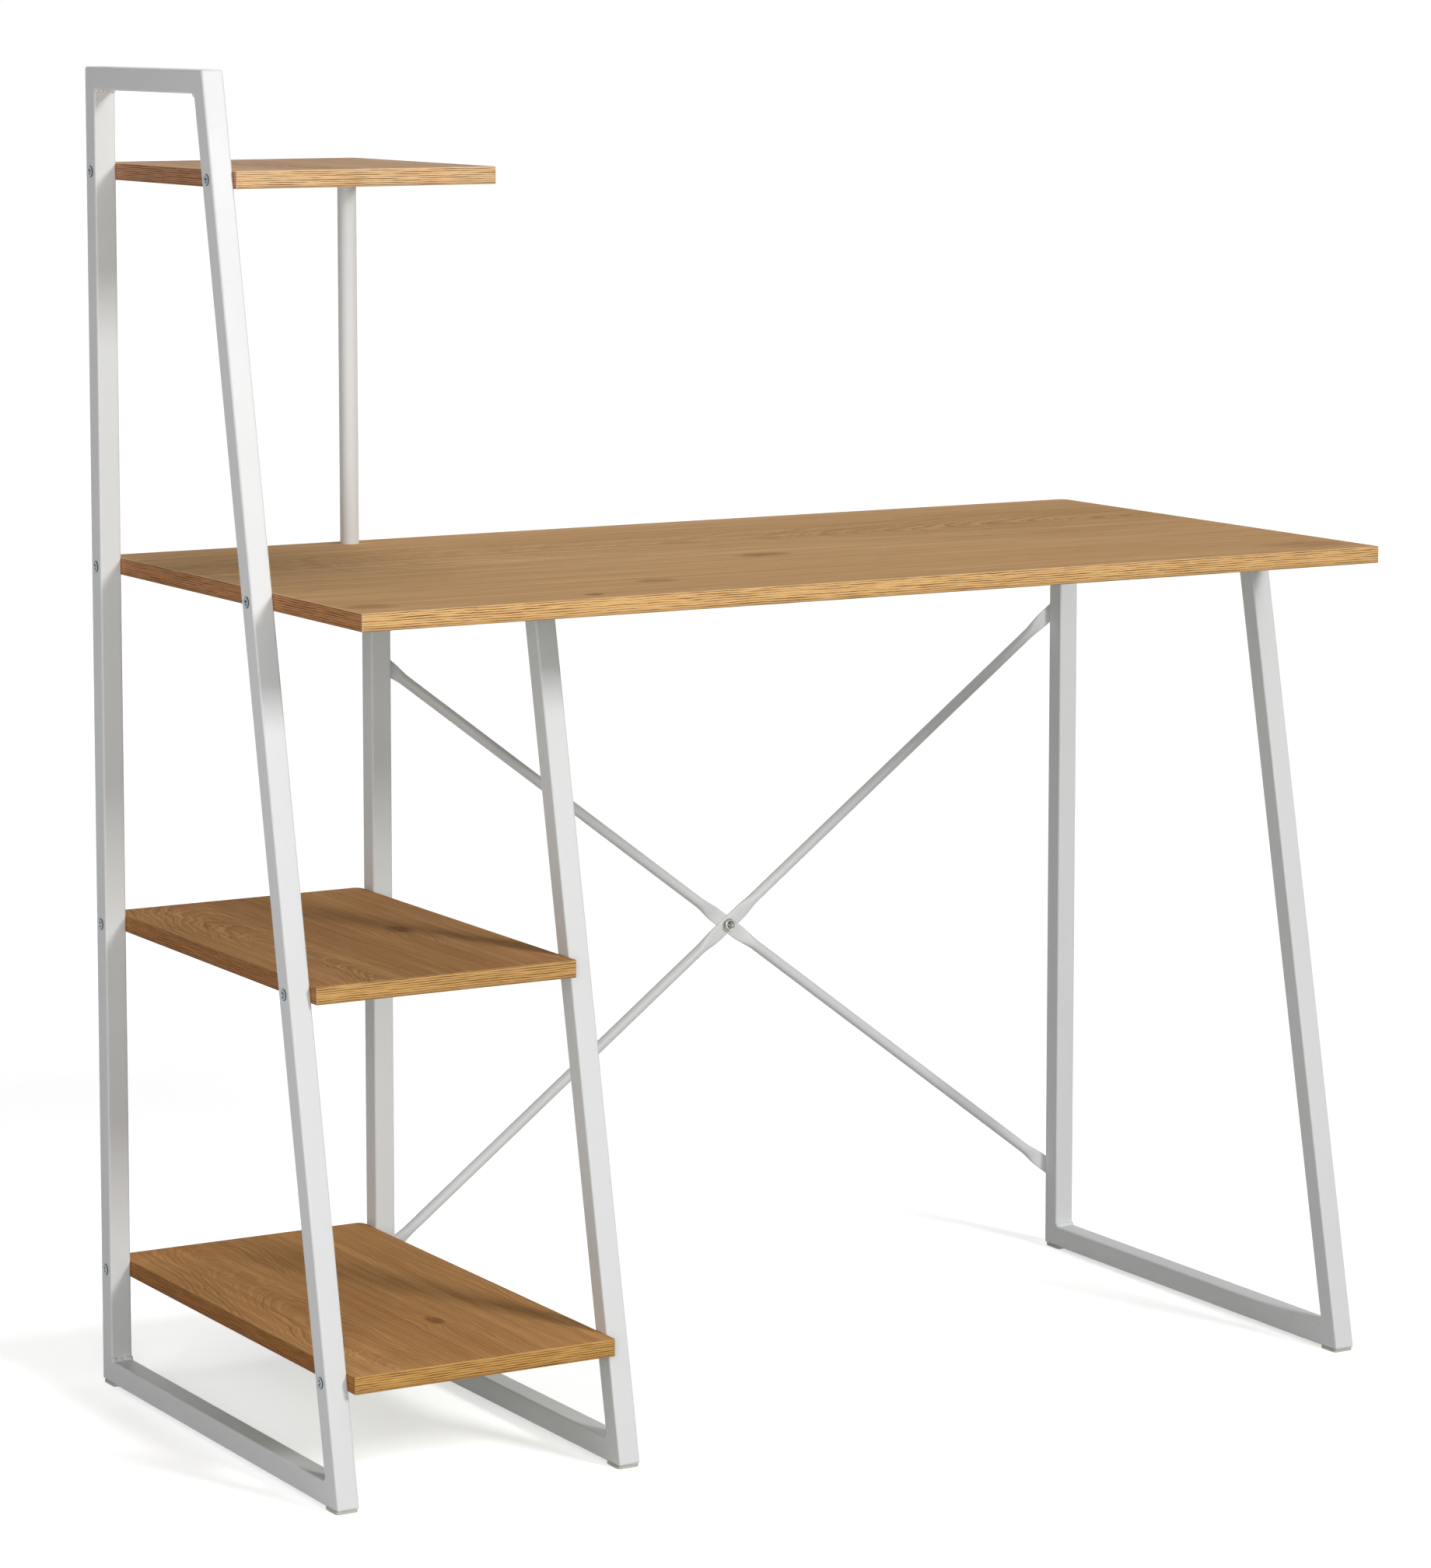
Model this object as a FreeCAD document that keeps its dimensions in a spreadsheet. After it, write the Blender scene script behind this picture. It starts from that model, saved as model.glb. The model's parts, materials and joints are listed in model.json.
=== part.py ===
import FreeCAD, Part
import math
import os
import re
import Sketcher

# Ladder desk: three welded frames of square steel tube carry a desktop and three shelves.
# The tall ladder frame stands at the left end, a crossed brace ties the two desk frames at the rear.
# X runs to the right, Y to the rear, Z up. The origin is on the floor under the middle of the desk.

SIZES = (
    ("tube_size", "20", "side of the square frame tube"),
    ("tube_wall", "1.2", "wall of the frame tube"),
    ("tube_edge_radius", "2", "rounding along the tube's edges"),
    ("frame_corner_radius", "2.5", "rounding of a frame's outer corners"),
    ("ladder_height", "1170", "height of the ladder frame"),
    ("ladder_base_depth", "480", "depth of the ladder frame at its foot"),
    ("ladder_top_depth", "244", "depth of the ladder frame at its top"),
    ("desk_frame_base_depth", "480", "depth of a desk frame at its foot"),
    ("desk_frame_top_depth", "330", "depth of a desk frame under the desktop"),
    ("right_frame_inset", "2", "right frame's setback from the desktop's right edge"),
    ("desktop_height", "743", "desktop's upper face above the floor"),
    ("desktop_length", "1015", "desktop from left to right"),
    ("desktop_depth", "505", "desktop from front to rear"),
    ("board_thickness", "15", "thickness of every board"),
    ("board_rear_overhang", "8", "boards past the frames' rear faces"),
    ("edge_band", "0.8", "thickness of the band glued round a board"),
    ("front_corner_radius", "2", "rounding of a board's front corners"),
    ("rear_corner_radius", "8", "rounding of a board's rear corners"),
    ("shelf_length", "243.5", "shelves from the ladder to the inner frame"),
    ("top_shelf_drop", "83.5", "top shelf's upper face below the ladder's top"),
    ("top_shelf_lead", "5.6", "top shelf's front edge ahead of the ladder's leg"),
    ("middle_shelf_height", "424.5", "middle shelf's upper face above the floor"),
    ("middle_shelf_lead", "10.6", "middle shelf's front edge ahead of the ladder's leg"),
    ("bottom_shelf_height", "112", "bottom shelf's upper face above the floor"),
    ("bottom_shelf_lead", "13.6", "bottom shelf's front edge ahead of the ladder's leg"),
    ("pad_thickness", "2.5", "foot pad"),
    ("pad_length", "22", "foot pad from front to rear"),
    ("pad_chamfer", "0.6", "eased lower edge of a foot pad"),
    ("weld_leg", "4", "leg of the weld in a frame's inner corner"),
    ("post_diameter", "17", "round post under the top shelf"),
    ("post_wall", "1.2", "wall of the post"),
    ("post_side_setback", "17", "post axis from the top shelf's right edge"),
    ("post_rear_setback", "20", "post axis from the boards' rear edge"),
    ("post_plug_length", "20", "threaded plug in each end of the post"),
    ("brace_diameter", "10", "round tube of the brace"),
    ("brace_wall", "1", "wall of the brace tube"),
    ("brace_flat_thickness", "3", "brace where it is pressed flat"),
    ("brace_flat_width", "14", "width of the pressed flat"),
    ("brace_end_margin", "8", "flat past the end hole"),
    ("brace_end_flat", "20", "flat from the end hole to the taper"),
    ("brace_middle_flat", "30", "flat at the crossing"),
    ("brace_taper", "24", "length over which the tube turns flat"),
    ("brace_upper_height", "638.5", "upper brace holes above the floor"),
    ("brace_lower_height", "74.5", "lower brace holes above the floor"),
    ("screw_diameter", "6", "thread of every screw"),
    ("screw_head_diameter", "10", "flat head of every screw"),
    ("screw_head_height", "1.2", "height of the flat head"),
    ("recess_length", "5.4", "cross recess from tip to tip"),
    ("recess_width", "1.5", "arm of the cross recess"),
    ("recess_depth", "2", "depth of the cross recess"),
    ("edge_screw_bite", "14", "screw in a board's edge"),
    ("face_screw_bite", "9", "screw in a board's underside"),
    ("post_screw_bite", "15", "screw or stud in a post plug"),
    ("insert_diameter", "10", "threaded insert in a board"),
    ("edge_insert_length", "16", "insert in a board's edge"),
    ("face_insert_length", "11", "insert in a board's underside"),
    ("rivet_nut_diameter", "8", "rivet nut in a rear leg"),
    ("rivet_nut_length", "12", "rivet nut in a rear leg"),
    ("brace_screw_bite", "10", "brace screw past the pressed flat"),
    ("nut_width", "10", "brace nut across its flats"),
    ("nut_height", "5", "brace nut"),
    ("bolt_tip", "3", "brace bolt past its nut"),
    ("fit_clearance", "0.1", "room all round a screw, insert or plug"),
    ("cut_overrun", "5", "cuts run this far past the solid"),
    ("rail_screw_setback", "60", "desktop screws from the rails' ends"),
)
ALIASES = {name for name, value, note in SIZES}

# The screw head's outline from rim to crown, as shares of the head's radius and height.
HEAD_OUTLINE_SHARES = ((1.0, 0.0), (1.0, 0.4), (0.8, 0.8), (0.5, 1.0))
# A mitre cut runs past both ends of its line by this share of the line.
MITRE_OVERRUN_SHARE = 0.5

doc = FreeCAD.newDocument("LadderDesk")
sizes = doc.addObject("Spreadsheet::Sheet", "Sizes")
for row, (name, value, note) in enumerate(SIZES, start=1):
    sizes.set(f"A{row}", name)
    sizes.set(f"B{row}", value)
    sizes.set(f"C{row}", note)
    sizes.setAlias(f"B{row}", name)
doc.recompute()
nodes = []


def bound(text):
    """Writes plain size names as references to the sheet's cells."""
    return re.sub(r"[a-z_]+", lambda word: f"Sizes.{word[0]}" if word[0] in ALIASES else word[0], text)


def measure(text):
    """Works out a sum of named sizes."""
    return float(sizes.evalExpression(bound(text)))


def bind(thing, **sums):
    """Binds properties to sums of named sizes."""
    for name, text in sums.items():
        thing.setExpression(name, bound(text))


def put(thing, across="0", back="0", up="0"):
    """Binds where a thing stands."""
    for axis, text in zip("xyz", (across, back, up)):
        thing.setExpression(f"Placement.Base.{axis}", bound(text))


def body_named(label):
    body = doc.addObject("PartDesign::Body", label)
    body.Label = label
    return body


def node(thing):
    """Keeps a finished sub-part for export."""
    nodes.append(thing)
    return thing


def sketch_in(body, name, role, lift="0"):
    """Starts a sketch on one of the body's own planes, lifted along the plane's normal."""
    sketch = body.newObject("Sketcher::SketchObject", f"{body.Name}_{name}")
    plane = next(item for item in body.Origin.OriginFeatures if item.Role == role)
    sketch.AttachmentSupport = [(plane, "")]
    sketch.MapMode = "FlatFace"
    sketch.setExpression("AttachmentOffset.Base.z", bound(lift))
    return sketch


def pin(sketch, geometry, end, across, up):
    """Ties a point of the sketch to sums of named sizes."""
    for text, kind, axis in ((across, "DistanceX", -2), (up, "DistanceY", -1)):
        if text == "0":
            sketch.addConstraint(Sketcher.Constraint("PointOnObject", geometry, end, axis))
            continue
        rule = sketch.addConstraint(Sketcher.Constraint(kind, -1, 1, geometry, end, measure(text)))
        sketch.setExpression(f"Constraints[{rule}]", bound(text))


def polygon(sketch, corners):
    """Draws a closed outline through corners given as sums of named sizes."""
    first = sketch.GeometryCount
    points = [FreeCAD.Vector(measure(across), measure(up), 0) for across, up in corners]
    count = len(points)
    for index in range(count):
        sketch.addGeometry(Part.LineSegment(points[index], points[(index + 1) % count]))
    for index, (across, up) in enumerate(corners):
        following = first + (index + 1) % count
        sketch.addConstraint(Sketcher.Constraint("Coincident", first + index, 2, following, 1))
        pin(sketch, first + index, 1, across, up)


def circle(sketch, across, up, diameter):
    centre = FreeCAD.Vector(measure(across), measure(up), 0)
    index = sketch.addGeometry(Part.Circle(centre, FreeCAD.Vector(0, 0, 1), measure(diameter) / 2))
    pin(sketch, index, 3, across, up)
    rule = sketch.addConstraint(Sketcher.Constraint("Diameter", index, measure(diameter)))
    sketch.setExpression(f"Constraints[{rule}]", bound(diameter))


def rectangle(across_from, up_from, across_to, up_to):
    return ((across_from, up_from), (across_to, up_from), (across_to, up_to), (across_from, up_to))


def pad(body, sketch, length, symmetric=False):
    feature = body.newObject("PartDesign::Pad", f"{sketch.Name}_pad")
    feature.Profile = sketch
    feature.SideType = "Symmetric" if symmetric else "One side"
    bind(feature, Length=length)
    doc.recompute()
    return feature


def pocket(body, sketch, depth, symmetric=False, along_normal=False):
    """Cuts a sketch into the body and makes sure that the cut meets the solid."""
    before = body.Shape.Volume
    feature = body.newObject("PartDesign::Pocket", f"{sketch.Name}_pocket")
    feature.Profile = sketch
    feature.SideType = "Symmetric" if symmetric else "One side"
    feature.Reversed = along_normal
    bind(feature, Length=depth)
    doc.recompute()
    if not body.Shape.Volume < before:
        raise RuntimeError(f"{sketch.Name} cuts nothing")
    return feature


def dress(body, kind, base, size, chosen):
    """Adds a fillet or chamfer on the edges of the base feature that pass the test."""
    names = [f"Edge{index}" for index, edge in enumerate(base.Shape.Edges, start=1) if chosen(edge)]
    feature = body.newObject(f"PartDesign::{kind}", f"{base.Name}_{kind}")
    feature.Base = (base, names)
    feature.setExpression("Radius" if kind == "Fillet" else "Size", bound(size))
    doc.recompute()
    return feature


def near(value, target):
    return abs(value - target) < FreeCAD.Base.Precision.approximation()


def lies_flat(edge, axis, level):
    """True for an edge that lies in the plane where the named coordinate has this value."""
    box = edge.BoundBox
    return near(getattr(box, f"{axis}Min"), level) and near(getattr(box, f"{axis}Max"), level)


# Where things stand, as sums of the named sizes.
LADDER_FACE = "(screw_head_height - tube_size - desktop_length)/2"
LADDER_X = f"{LADDER_FACE} + tube_size/2"
BOARD_LEFT = f"{LADDER_FACE} + tube_size"
SHELF_RIGHT = f"{BOARD_LEFT} + shelf_length"
INNER_X = f"{SHELF_RIGHT} + tube_size/2"
DESKTOP_RIGHT = f"{BOARD_LEFT} + desktop_length"
RIGHT_X = f"{DESKTOP_RIGHT} - right_frame_inset - tube_size/2"
BOARD_REAR = "desktop_depth/2"
FRAME_REAR = "(desktop_depth/2 - board_rear_overhang)"
BRACE_LEVELS = ("brace_upper_height", "brace_lower_height")
DESK_FRAME_HEIGHT = "(desktop_height - board_thickness - pad_thickness)"
TOP_SHELF_HEIGHT = "(ladder_height + pad_thickness - top_shelf_drop)"
HOLE = "screw_diameter + 2*fit_clearance"
POST_X = f"{SHELF_RIGHT} - post_side_setback"
POST_Y = f"{BOARD_REAR} - post_rear_setback"


class Frame:
    """A closed frame of four mitred tubes with an upright rear leg and a leaning front leg.

    Its own corner is on the frame's underside at the front foot: Y to the rear, Z up."""

    def __init__(self, name, middle, base, top, height):
        self.name = name
        self.middle = middle
        self.base = base
        self.height = height
        self.lean = f"({base} - {top})/{height}"
        self.leg_span = f"tube_size*sqrt(1 + ({self.lean})^2)"
        self.front = f"{FRAME_REAR} - {base}"
        self.outer = {
            "front_bottom": ("0", "0"),
            "rear_bottom": (base, "0"),
            "rear_top": (base, height),
            "front_top": (f"{base} - {top}", height),
        }
        self.inner = {
            "front_bottom": (self.leg_at("tube_size", 1), "tube_size"),
            "rear_bottom": (f"{base} - tube_size", "tube_size"),
            "rear_top": (f"{base} - tube_size", f"{height} - tube_size"),
            "front_top": (self.leg_at(f"{height} - tube_size", 1), f"{height} - tube_size"),
        }

    def leg_at(self, up, share):
        """Place across the front leg at a height: share 0 is its front face and 1 its rear face."""
        return f"({self.lean}*({up}) + {share}*{self.leg_span})"

    def stand(self, thing):
        put(thing, self.middle, self.front, "pad_thickness")

    def leg_outline(self, inset):
        """The leaning leg's outline from floor to top, drawn in from both faces."""
        skew = f"({inset})*sqrt(1 + ({self.lean})^2)"
        top_front = f"{self.lean}*{self.height}"
        return (
            (skew, "0"),
            (f"{self.leg_span} - {skew}", "0"),
            (f"{top_front} + {self.leg_span} - {skew}", self.height),
            (f"{top_front} + {skew}", self.height),
        )

    def rail_outline(self, bottom, top):
        """A rail's outline, whose front end follows the leaning leg's front face."""
        return (
            (f"{self.lean}*({bottom})", bottom),
            (self.base, bottom),
            (self.base, top),
            (f"{self.lean}*({top})", top),
        )

    def upright_outline(self, inset):
        front = f"{self.base} - tube_size + {inset}"
        return rectangle(front, "0", f"{self.base} - {inset}", self.height)

    def tube(self, label, outline, hollow, corners):
        """One tube: bar, rounded edges, bore and the two mitre cuts."""
        body = body_named(label)
        sketch = sketch_in(body, "outline", "YZ_Plane")
        polygon(sketch, outline)
        bar = pad(body, sketch, "tube_size", symmetric=True)
        ends = [tuple(measure(text) for text in self.outer[corner]) for corner in corners]

        def at_outer_corner(edge):
            return any(lies_flat(edge, "Y", y) and lies_flat(edge, "Z", z) for y, z in ends)

        rounded = dress(body, "Fillet", bar, "frame_corner_radius", at_outer_corner)
        half = measure("tube_size/2")
        dress(
            body, "Fillet", rounded, "tube_edge_radius",
            lambda edge: lies_flat(edge, "X", half) or lies_flat(edge, "X", -half),
        )
        bore = sketch_in(body, "bore", "YZ_Plane")
        polygon(bore, hollow)
        pocket(body, bore, "tube_size - 2*tube_wall", symmetric=True)
        mitres = sketch_in(body, "mitres", "YZ_Plane")
        for corner in corners:
            polygon(mitres, self.mitre(corner, outline))
        pocket(body, mitres, "tube_size + 2*cut_overrun", symmetric=True)
        self.stand(body)
        return node(body)

    def mitre(self, corner, outline):
        """The waste side of a mitre: the line through both corner points and a point past the bar's end."""
        outer, inner = self.outer[corner], self.inner[corner]
        target = [measure(text) for text in outer]
        nearest = sorted(outline, key=lambda spot: math.dist([measure(text) for text in spot], target))
        waste = nearest[1]

        def past(start, end):
            return tuple(f"{to} + {MITRE_OVERRUN_SHARE}*({to} - ({come}))" for come, to in zip(start, end))

        beyond = tuple(f"2*({far}) - ({one} + {two})/2" for far, one, two in zip(waste, outer, inner))
        return (past(inner, outer), past(outer, inner), beyond)

    def build(self, rear_name):
        """Makes the four tubes and gives them back by their part of the frame."""
        top_from = f"{self.height} - tube_size"
        top_hollow = rectangle("0", f"{top_from} + tube_wall", self.base, f"{self.height} - tube_wall")
        return {
            "rear": self.tube(
                f"{self.name}_{rear_name}", self.upright_outline("0"), self.upright_outline("tube_wall"),
                ("rear_bottom", "rear_top"),
            ),
            "front": self.tube(
                f"{self.name}_front_leg", self.leg_outline("0"), self.leg_outline("tube_wall"),
                ("front_bottom", "front_top"),
            ),
            "top": self.tube(
                f"{self.name}_top_rail", self.rail_outline(top_from, self.height), top_hollow,
                ("front_top", "rear_top"),
            ),
            "bottom": self.tube(
                f"{self.name}_bottom_rail", self.rail_outline("0", "tube_size"),
                rectangle("0", "tube_wall", self.base, "tube_size - tube_wall"),
                ("front_bottom", "rear_bottom"),
            ),
        }

    def welds(self):
        """Four fillet welds, one in each inner corner, as long as the tube's flat side is wide."""
        body = body_named(f"{self.name}_welds")
        sketch = sketch_in(body, "beads", "YZ_Plane")
        leg_rise = f"weld_leg/sqrt(1 + ({self.lean})^2)"
        for corner, (y, z) in self.inner.items():
            side, level = corner.split("_")
            rises = 1 if level == "bottom" else -1
            if side == "rear":
                along_rail = (f"{y} - weld_leg", z)
                along_leg = (y, f"{z} + {rises}*weld_leg")
            else:
                along_rail = (f"{y} + weld_leg", z)
                along_leg = (f"{y} + {rises}*{self.lean}*{leg_rise}", f"{z} + {rises}*{leg_rise}")
            polygon(sketch, ((y, z), along_rail, along_leg))
        pad(body, sketch, "tube_size - 2*tube_edge_radius", symmetric=True)
        self.stand(body)
        return node(body)

    def pads(self):
        """A foot pad under each leg, just inside the frame's rounded corner."""
        places = {
            "front": f"{self.front} + frame_corner_radius",
            "rear": f"{FRAME_REAR} - frame_corner_radius - pad_length",
        }
        for side, back in places.items():
            body = body_named(f"{self.name}_{side}_foot_pad")
            sketch = sketch_in(body, "outline", "XY_Plane")
            polygon(sketch, rectangle("-tube_size/2", "0", "tube_size/2", "pad_length"))
            block = pad(body, sketch, "pad_thickness")
            dress(body, "Chamfer", block, "pad_chamfer", lambda edge: lies_flat(edge, "Z", 0))
            put(body, self.middle, back, "0")
            node(body)


def drill(body, name, role, spots, diameter, depth, symmetric=False, along_normal=False, lift="0"):
    """Drills a row of round holes from one of the body's planes."""
    sketch = sketch_in(body, name, role, lift)
    for across, up in spots:
        circle(sketch, across, up, diameter)
    return pocket(body, sketch, depth, symmetric, along_normal)


ladder = Frame("ladder", LADDER_X, "ladder_base_depth", "ladder_top_depth", "ladder_height")
inner = Frame("inner", INNER_X, "desk_frame_base_depth", "desk_frame_top_depth", DESK_FRAME_HEIGHT)
right = Frame("right", RIGHT_X, "desk_frame_base_depth", "desk_frame_top_depth", DESK_FRAME_HEIGHT)



def in_frame(level):
    """Height above a frame's underside of the middle of the board whose upper face is at this level."""
    return f"({level} - board_thickness/2 - pad_thickness)"


def shelf_depth(level, lead):
    """A shelf runs from behind the frames to a little ahead of the ladder's leaning leg."""
    return f"(board_rear_overhang + {ladder.base} - {ladder.leg_at(in_frame(level), 0)} + {lead})"


# Each board with its length, depth and upper face.
BOARDS = {
    "desktop": ("desktop_length", "desktop_depth", "desktop_height"),
    "top_shelf": ("shelf_length", shelf_depth(TOP_SHELF_HEIGHT, "top_shelf_lead"), TOP_SHELF_HEIGHT),
    "middle_shelf": (
        "shelf_length", shelf_depth("middle_shelf_height", "middle_shelf_lead"), "middle_shelf_height",
    ),
    "bottom_shelf": (
        "shelf_length", shelf_depth("bottom_shelf_height", "bottom_shelf_lead"), "bottom_shelf_height",
    ),
}
LOW_SHELVES = ("middle_shelf", "bottom_shelf")


def screw_line(frame, board):
    """The two places in a frame where screws go into a board's end, in the frame's own measure."""
    level = in_frame(BOARDS[board][2])
    return ((f"{frame.base} - tube_size/2", level), (frame.leg_at(level, 0.5), level))


def frame_tubes():
    ladder_tubes = ladder.build("rear_upright")
    inner_tubes = inner.build("rear_leg")
    right_tubes = right.build("rear_leg")
    across = "tube_size + 2*cut_overrun"
    for part, index in (("rear", 0), ("front", 1)):
        ladder_spots = [screw_line(ladder, board)[index] for board in BOARDS]
        drill(ladder_tubes[part], "screw_holes", "YZ_Plane", ladder_spots, HOLE, across, symmetric=True)
        inner_spots = [screw_line(inner, board)[index] for board in LOW_SHELVES]
        drill(inner_tubes[part], "screw_holes", "YZ_Plane", inner_spots, HOLE, across, symmetric=True)
    for frame, tubes in ((inner, inner_tubes), (right, right_tubes)):
        rail_spots = [("0", back) for back in rail_screws(frame)]
        drill(tubes["top"], "desktop_holes", "XY_Plane", rail_spots, HOLE, across, symmetric=True,
              lift=f"{frame.height} - tube_size/2")
        brace_spots = [("0", f"{level} - pad_thickness") for level in BRACE_LEVELS]
        drill(tubes["rear"], "brace_holes", "XZ_Plane", brace_spots, "rivet_nut_diameter + 2*fit_clearance",
              "tube_size/2", along_normal=True, lift=f"-{frame.base}")


def rail_screws(frame):
    """Where the desktop screws pass a top rail, in the frame's own measure."""
    front_end = frame.leg_at(f"{frame.height} - tube_size/2", 0.5)
    return (f"{front_end} + rail_screw_setback", f"{frame.base} - tube_size/2 - rail_screw_setback")


def board_outline(sketch, board, inset):
    """A board's outline drawn in by an inset: small front corners and larger rear corners."""
    length, depth, level = BOARDS[board]
    right_side, rear_side = f"{length} - {inset}", f"{depth} - {inset}"
    small, large = f"front_corner_radius - {inset}", f"rear_corner_radius - {inset}"
    near_x, far_x = measure(inset), measure(right_side)
    near_y, far_y = measure(inset), measure(rear_side)
    corners = (
        (far_x, near_y, -1, 1, small), (far_x, far_y, -1, -1, large),
        (near_x, far_y, 1, -1, large), (near_x, near_y, 1, 1, small),
    )
    arcs = []
    for quarter, (x, y, inward_x, inward_y, text) in enumerate(corners, start=-1):
        radius = measure(text)
        centre = FreeCAD.Vector(x + inward_x * radius, y + inward_y * radius, 0)
        whole = Part.Circle(centre, FreeCAD.Vector(0, 0, 1), radius)
        arc = Part.ArcOfCircle(whole, quarter * math.pi / 2, (quarter + 1) * math.pi / 2)
        arcs.append(sketch.addGeometry(arc))
        rule = sketch.addConstraint(Sketcher.Constraint("Radius", arcs[-1], radius))
        sketch.setExpression(f"Constraints[{rule}]", bound(text))
    sides = (
        ("Horizontal", "DistanceY", inset, -1), ("Vertical", "DistanceX", right_side, -2),
        ("Horizontal", "DistanceY", rear_side, -1), ("Vertical", "DistanceX", inset, -2),
    )
    for index, (lie, kind, text, axis) in enumerate(sides):
        before, after = arcs[index - 1], arcs[index]
        ends = (sketch.getPoint(before, 2), sketch.getPoint(after, 1))
        line = sketch.addGeometry(Part.LineSegment(*ends))
        sketch.addConstraint(Sketcher.Constraint("Tangent", before, 2, line, 1))
        sketch.addConstraint(Sketcher.Constraint("Tangent", line, 2, after, 1))
        sketch.addConstraint(Sketcher.Constraint(lie, line))
        if text == "0":
            sketch.addConstraint(Sketcher.Constraint("PointOnObject", line, 1, axis))
            continue
        rule = sketch.addConstraint(Sketcher.Constraint(kind, -1, 1, line, 1, measure(text)))
        sketch.setExpression(f"Constraints[{rule}]", bound(text))


def board_core(board):
    """The board without its band; its own corner is the band's outer front left corner."""
    body = body_named(board)
    sketch = sketch_in(body, "outline", "XY_Plane")
    board_outline(sketch, board, "edge_band")
    pad(body, sketch, "board_thickness")
    return body


def board_band(board):
    """The band glued round a board's edge."""
    body = body_named(f"{board}_edge_band")
    sketch = sketch_in(body, "outline", "XY_Plane")
    board_outline(sketch, board, "0")
    board_outline(sketch, board, "edge_band")
    pad(body, sketch, "board_thickness")
    return body


def board_place(board, body):
    length, depth, level = BOARDS[board]
    put(body, BOARD_LEFT, f"{BOARD_REAR} - {depth}", f"{level} - board_thickness")
    return node(body)


def end_spots(frame, board):
    """Screw places of a frame in a board's own measure, on the board's end."""
    depth = BOARDS[board][1]
    shift = f"{depth} - board_rear_overhang - {frame.base}"
    return [(f"{shift} + {back}", "board_thickness/2") for back, level in screw_line(frame, board)]


def rail_spots_in_desktop(frame):
    shift = f"desktop_depth - board_rear_overhang - {frame.base}"
    return [(f"{frame.middle} - ({BOARD_LEFT})", f"{shift} + {back}") for back in rail_screws(frame)]


def boards():
    insert_hole = "insert_diameter + 2*fit_clearance"
    post_across = f"{POST_X} - ({BOARD_LEFT})"
    for board, (length, depth, level) in BOARDS.items():
        core = board_core(board)
        band = board_band(board)
        post_spot = [(post_across, f"{depth} - post_rear_setback")]
        for body in (core, band):
            drill(body, "left_inserts", "YZ_Plane", end_spots(ladder, board), insert_hole,
                  "edge_insert_length", along_normal=True)
            if board in LOW_SHELVES:
                drill(body, "right_inserts", "YZ_Plane", end_spots(inner, board), insert_hole,
                      "edge_insert_length", lift=length)
        if board == "desktop":
            spots = rail_spots_in_desktop(inner) + rail_spots_in_desktop(right)
            drill(core, "rail_inserts", "XY_Plane", spots, insert_hole, "face_insert_length",
                  along_normal=True)
            drill(core, "post_hole", "XY_Plane", post_spot, HOLE, "board_thickness", along_normal=True)
        if board == "top_shelf":
            drill(core, "post_insert", "XY_Plane", post_spot, insert_hole, "face_insert_length",
                  along_normal=True)
        board_place(board, core)
        board_place(board, band)


def screw_master(label, length):
    """A screw with a low head and a cross recess; its head rests on its own XY plane and looks up."""
    body = body_named(label)
    sketch = sketch_in(body, "profile", "XZ_Plane")
    crown = [
        (f"{out}*screw_head_diameter/2", f"{up}*screw_head_height" if up else "0")
        for out, up in HEAD_OUTLINE_SHARES
    ]
    polygon(sketch, [("0", f"-({length})"), ("screw_diameter/2", f"-({length})"), ("screw_diameter/2", "0")]
            + crown + [("0", "screw_head_height")])
    turned = body.newObject("PartDesign::Revolution", f"{label}_turned")
    turned.Profile = sketch
    turned.ReferenceAxis = (sketch, ["V_Axis"])
    doc.recompute()
    cross = sketch_in(body, "recess", "XY_Plane", "screw_head_height")
    arm, half = "recess_length/2", "recess_width/2"
    polygon(cross, (
        (arm, f"-{half}"), (arm, half), (half, half), (half, arm), (f"-{half}", arm), (f"-{half}", half),
        (f"-{arm}", half), (f"-{arm}", f"-{half}"), (f"-{half}", f"-{half}"), (f"-{half}", f"-{arm}"),
        (half, f"-{arm}"), (half, f"-{half}"),
    ))
    pocket(body, cross, "recess_depth")
    return body


def ring_master(label, outer, bore, length):
    """A plain sleeve that stands on its own XY plane."""
    body = body_named(label)
    sketch = sketch_in(body, "section", "XY_Plane")
    circle(sketch, "0", "0", outer)
    circle(sketch, "0", "0", bore)
    pad(body, sketch, length)
    return body


# Which way a fastener's own +Z points once it is in place.
TURNS = {
    "up": FreeCAD.Rotation(),
    "down": FreeCAD.Rotation(FreeCAD.Vector(1, 0, 0), 180),
    "left": FreeCAD.Rotation(FreeCAD.Vector(0, 1, 0), -90),
    "right": FreeCAD.Rotation(FreeCAD.Vector(0, 1, 0), 90),
    "rear": FreeCAD.Rotation(FreeCAD.Vector(1, 0, 0), -90),
    "front": FreeCAD.Rotation(FreeCAD.Vector(1, 0, 0), 90),
}


def group(label, master, places):
    """Separate copies of one fastener under one name."""
    copies = []
    for number, (way, across, back, up) in enumerate(places, start=1):
        copy = doc.addObject("App::Link", f"{label}_{number}")
        copy.LinkedObject = master
        copy.Placement = FreeCAD.Placement(FreeCAD.Vector(), TURNS[way])
        put(copy, across, back, up)
        copies.append(copy)
    bundle = doc.addObject("Part::Compound", label)
    bundle.Label = label
    bundle.Links = copies
    return node(bundle)


def screw_places(frame, board, way, face):
    """Where screws or inserts stand on one side of a frame, for one board."""
    return [
        (way, face, f"{frame.front} + {back}", f"{level} + pad_thickness")
        for back, level in screw_line(frame, board)
    ]


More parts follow.
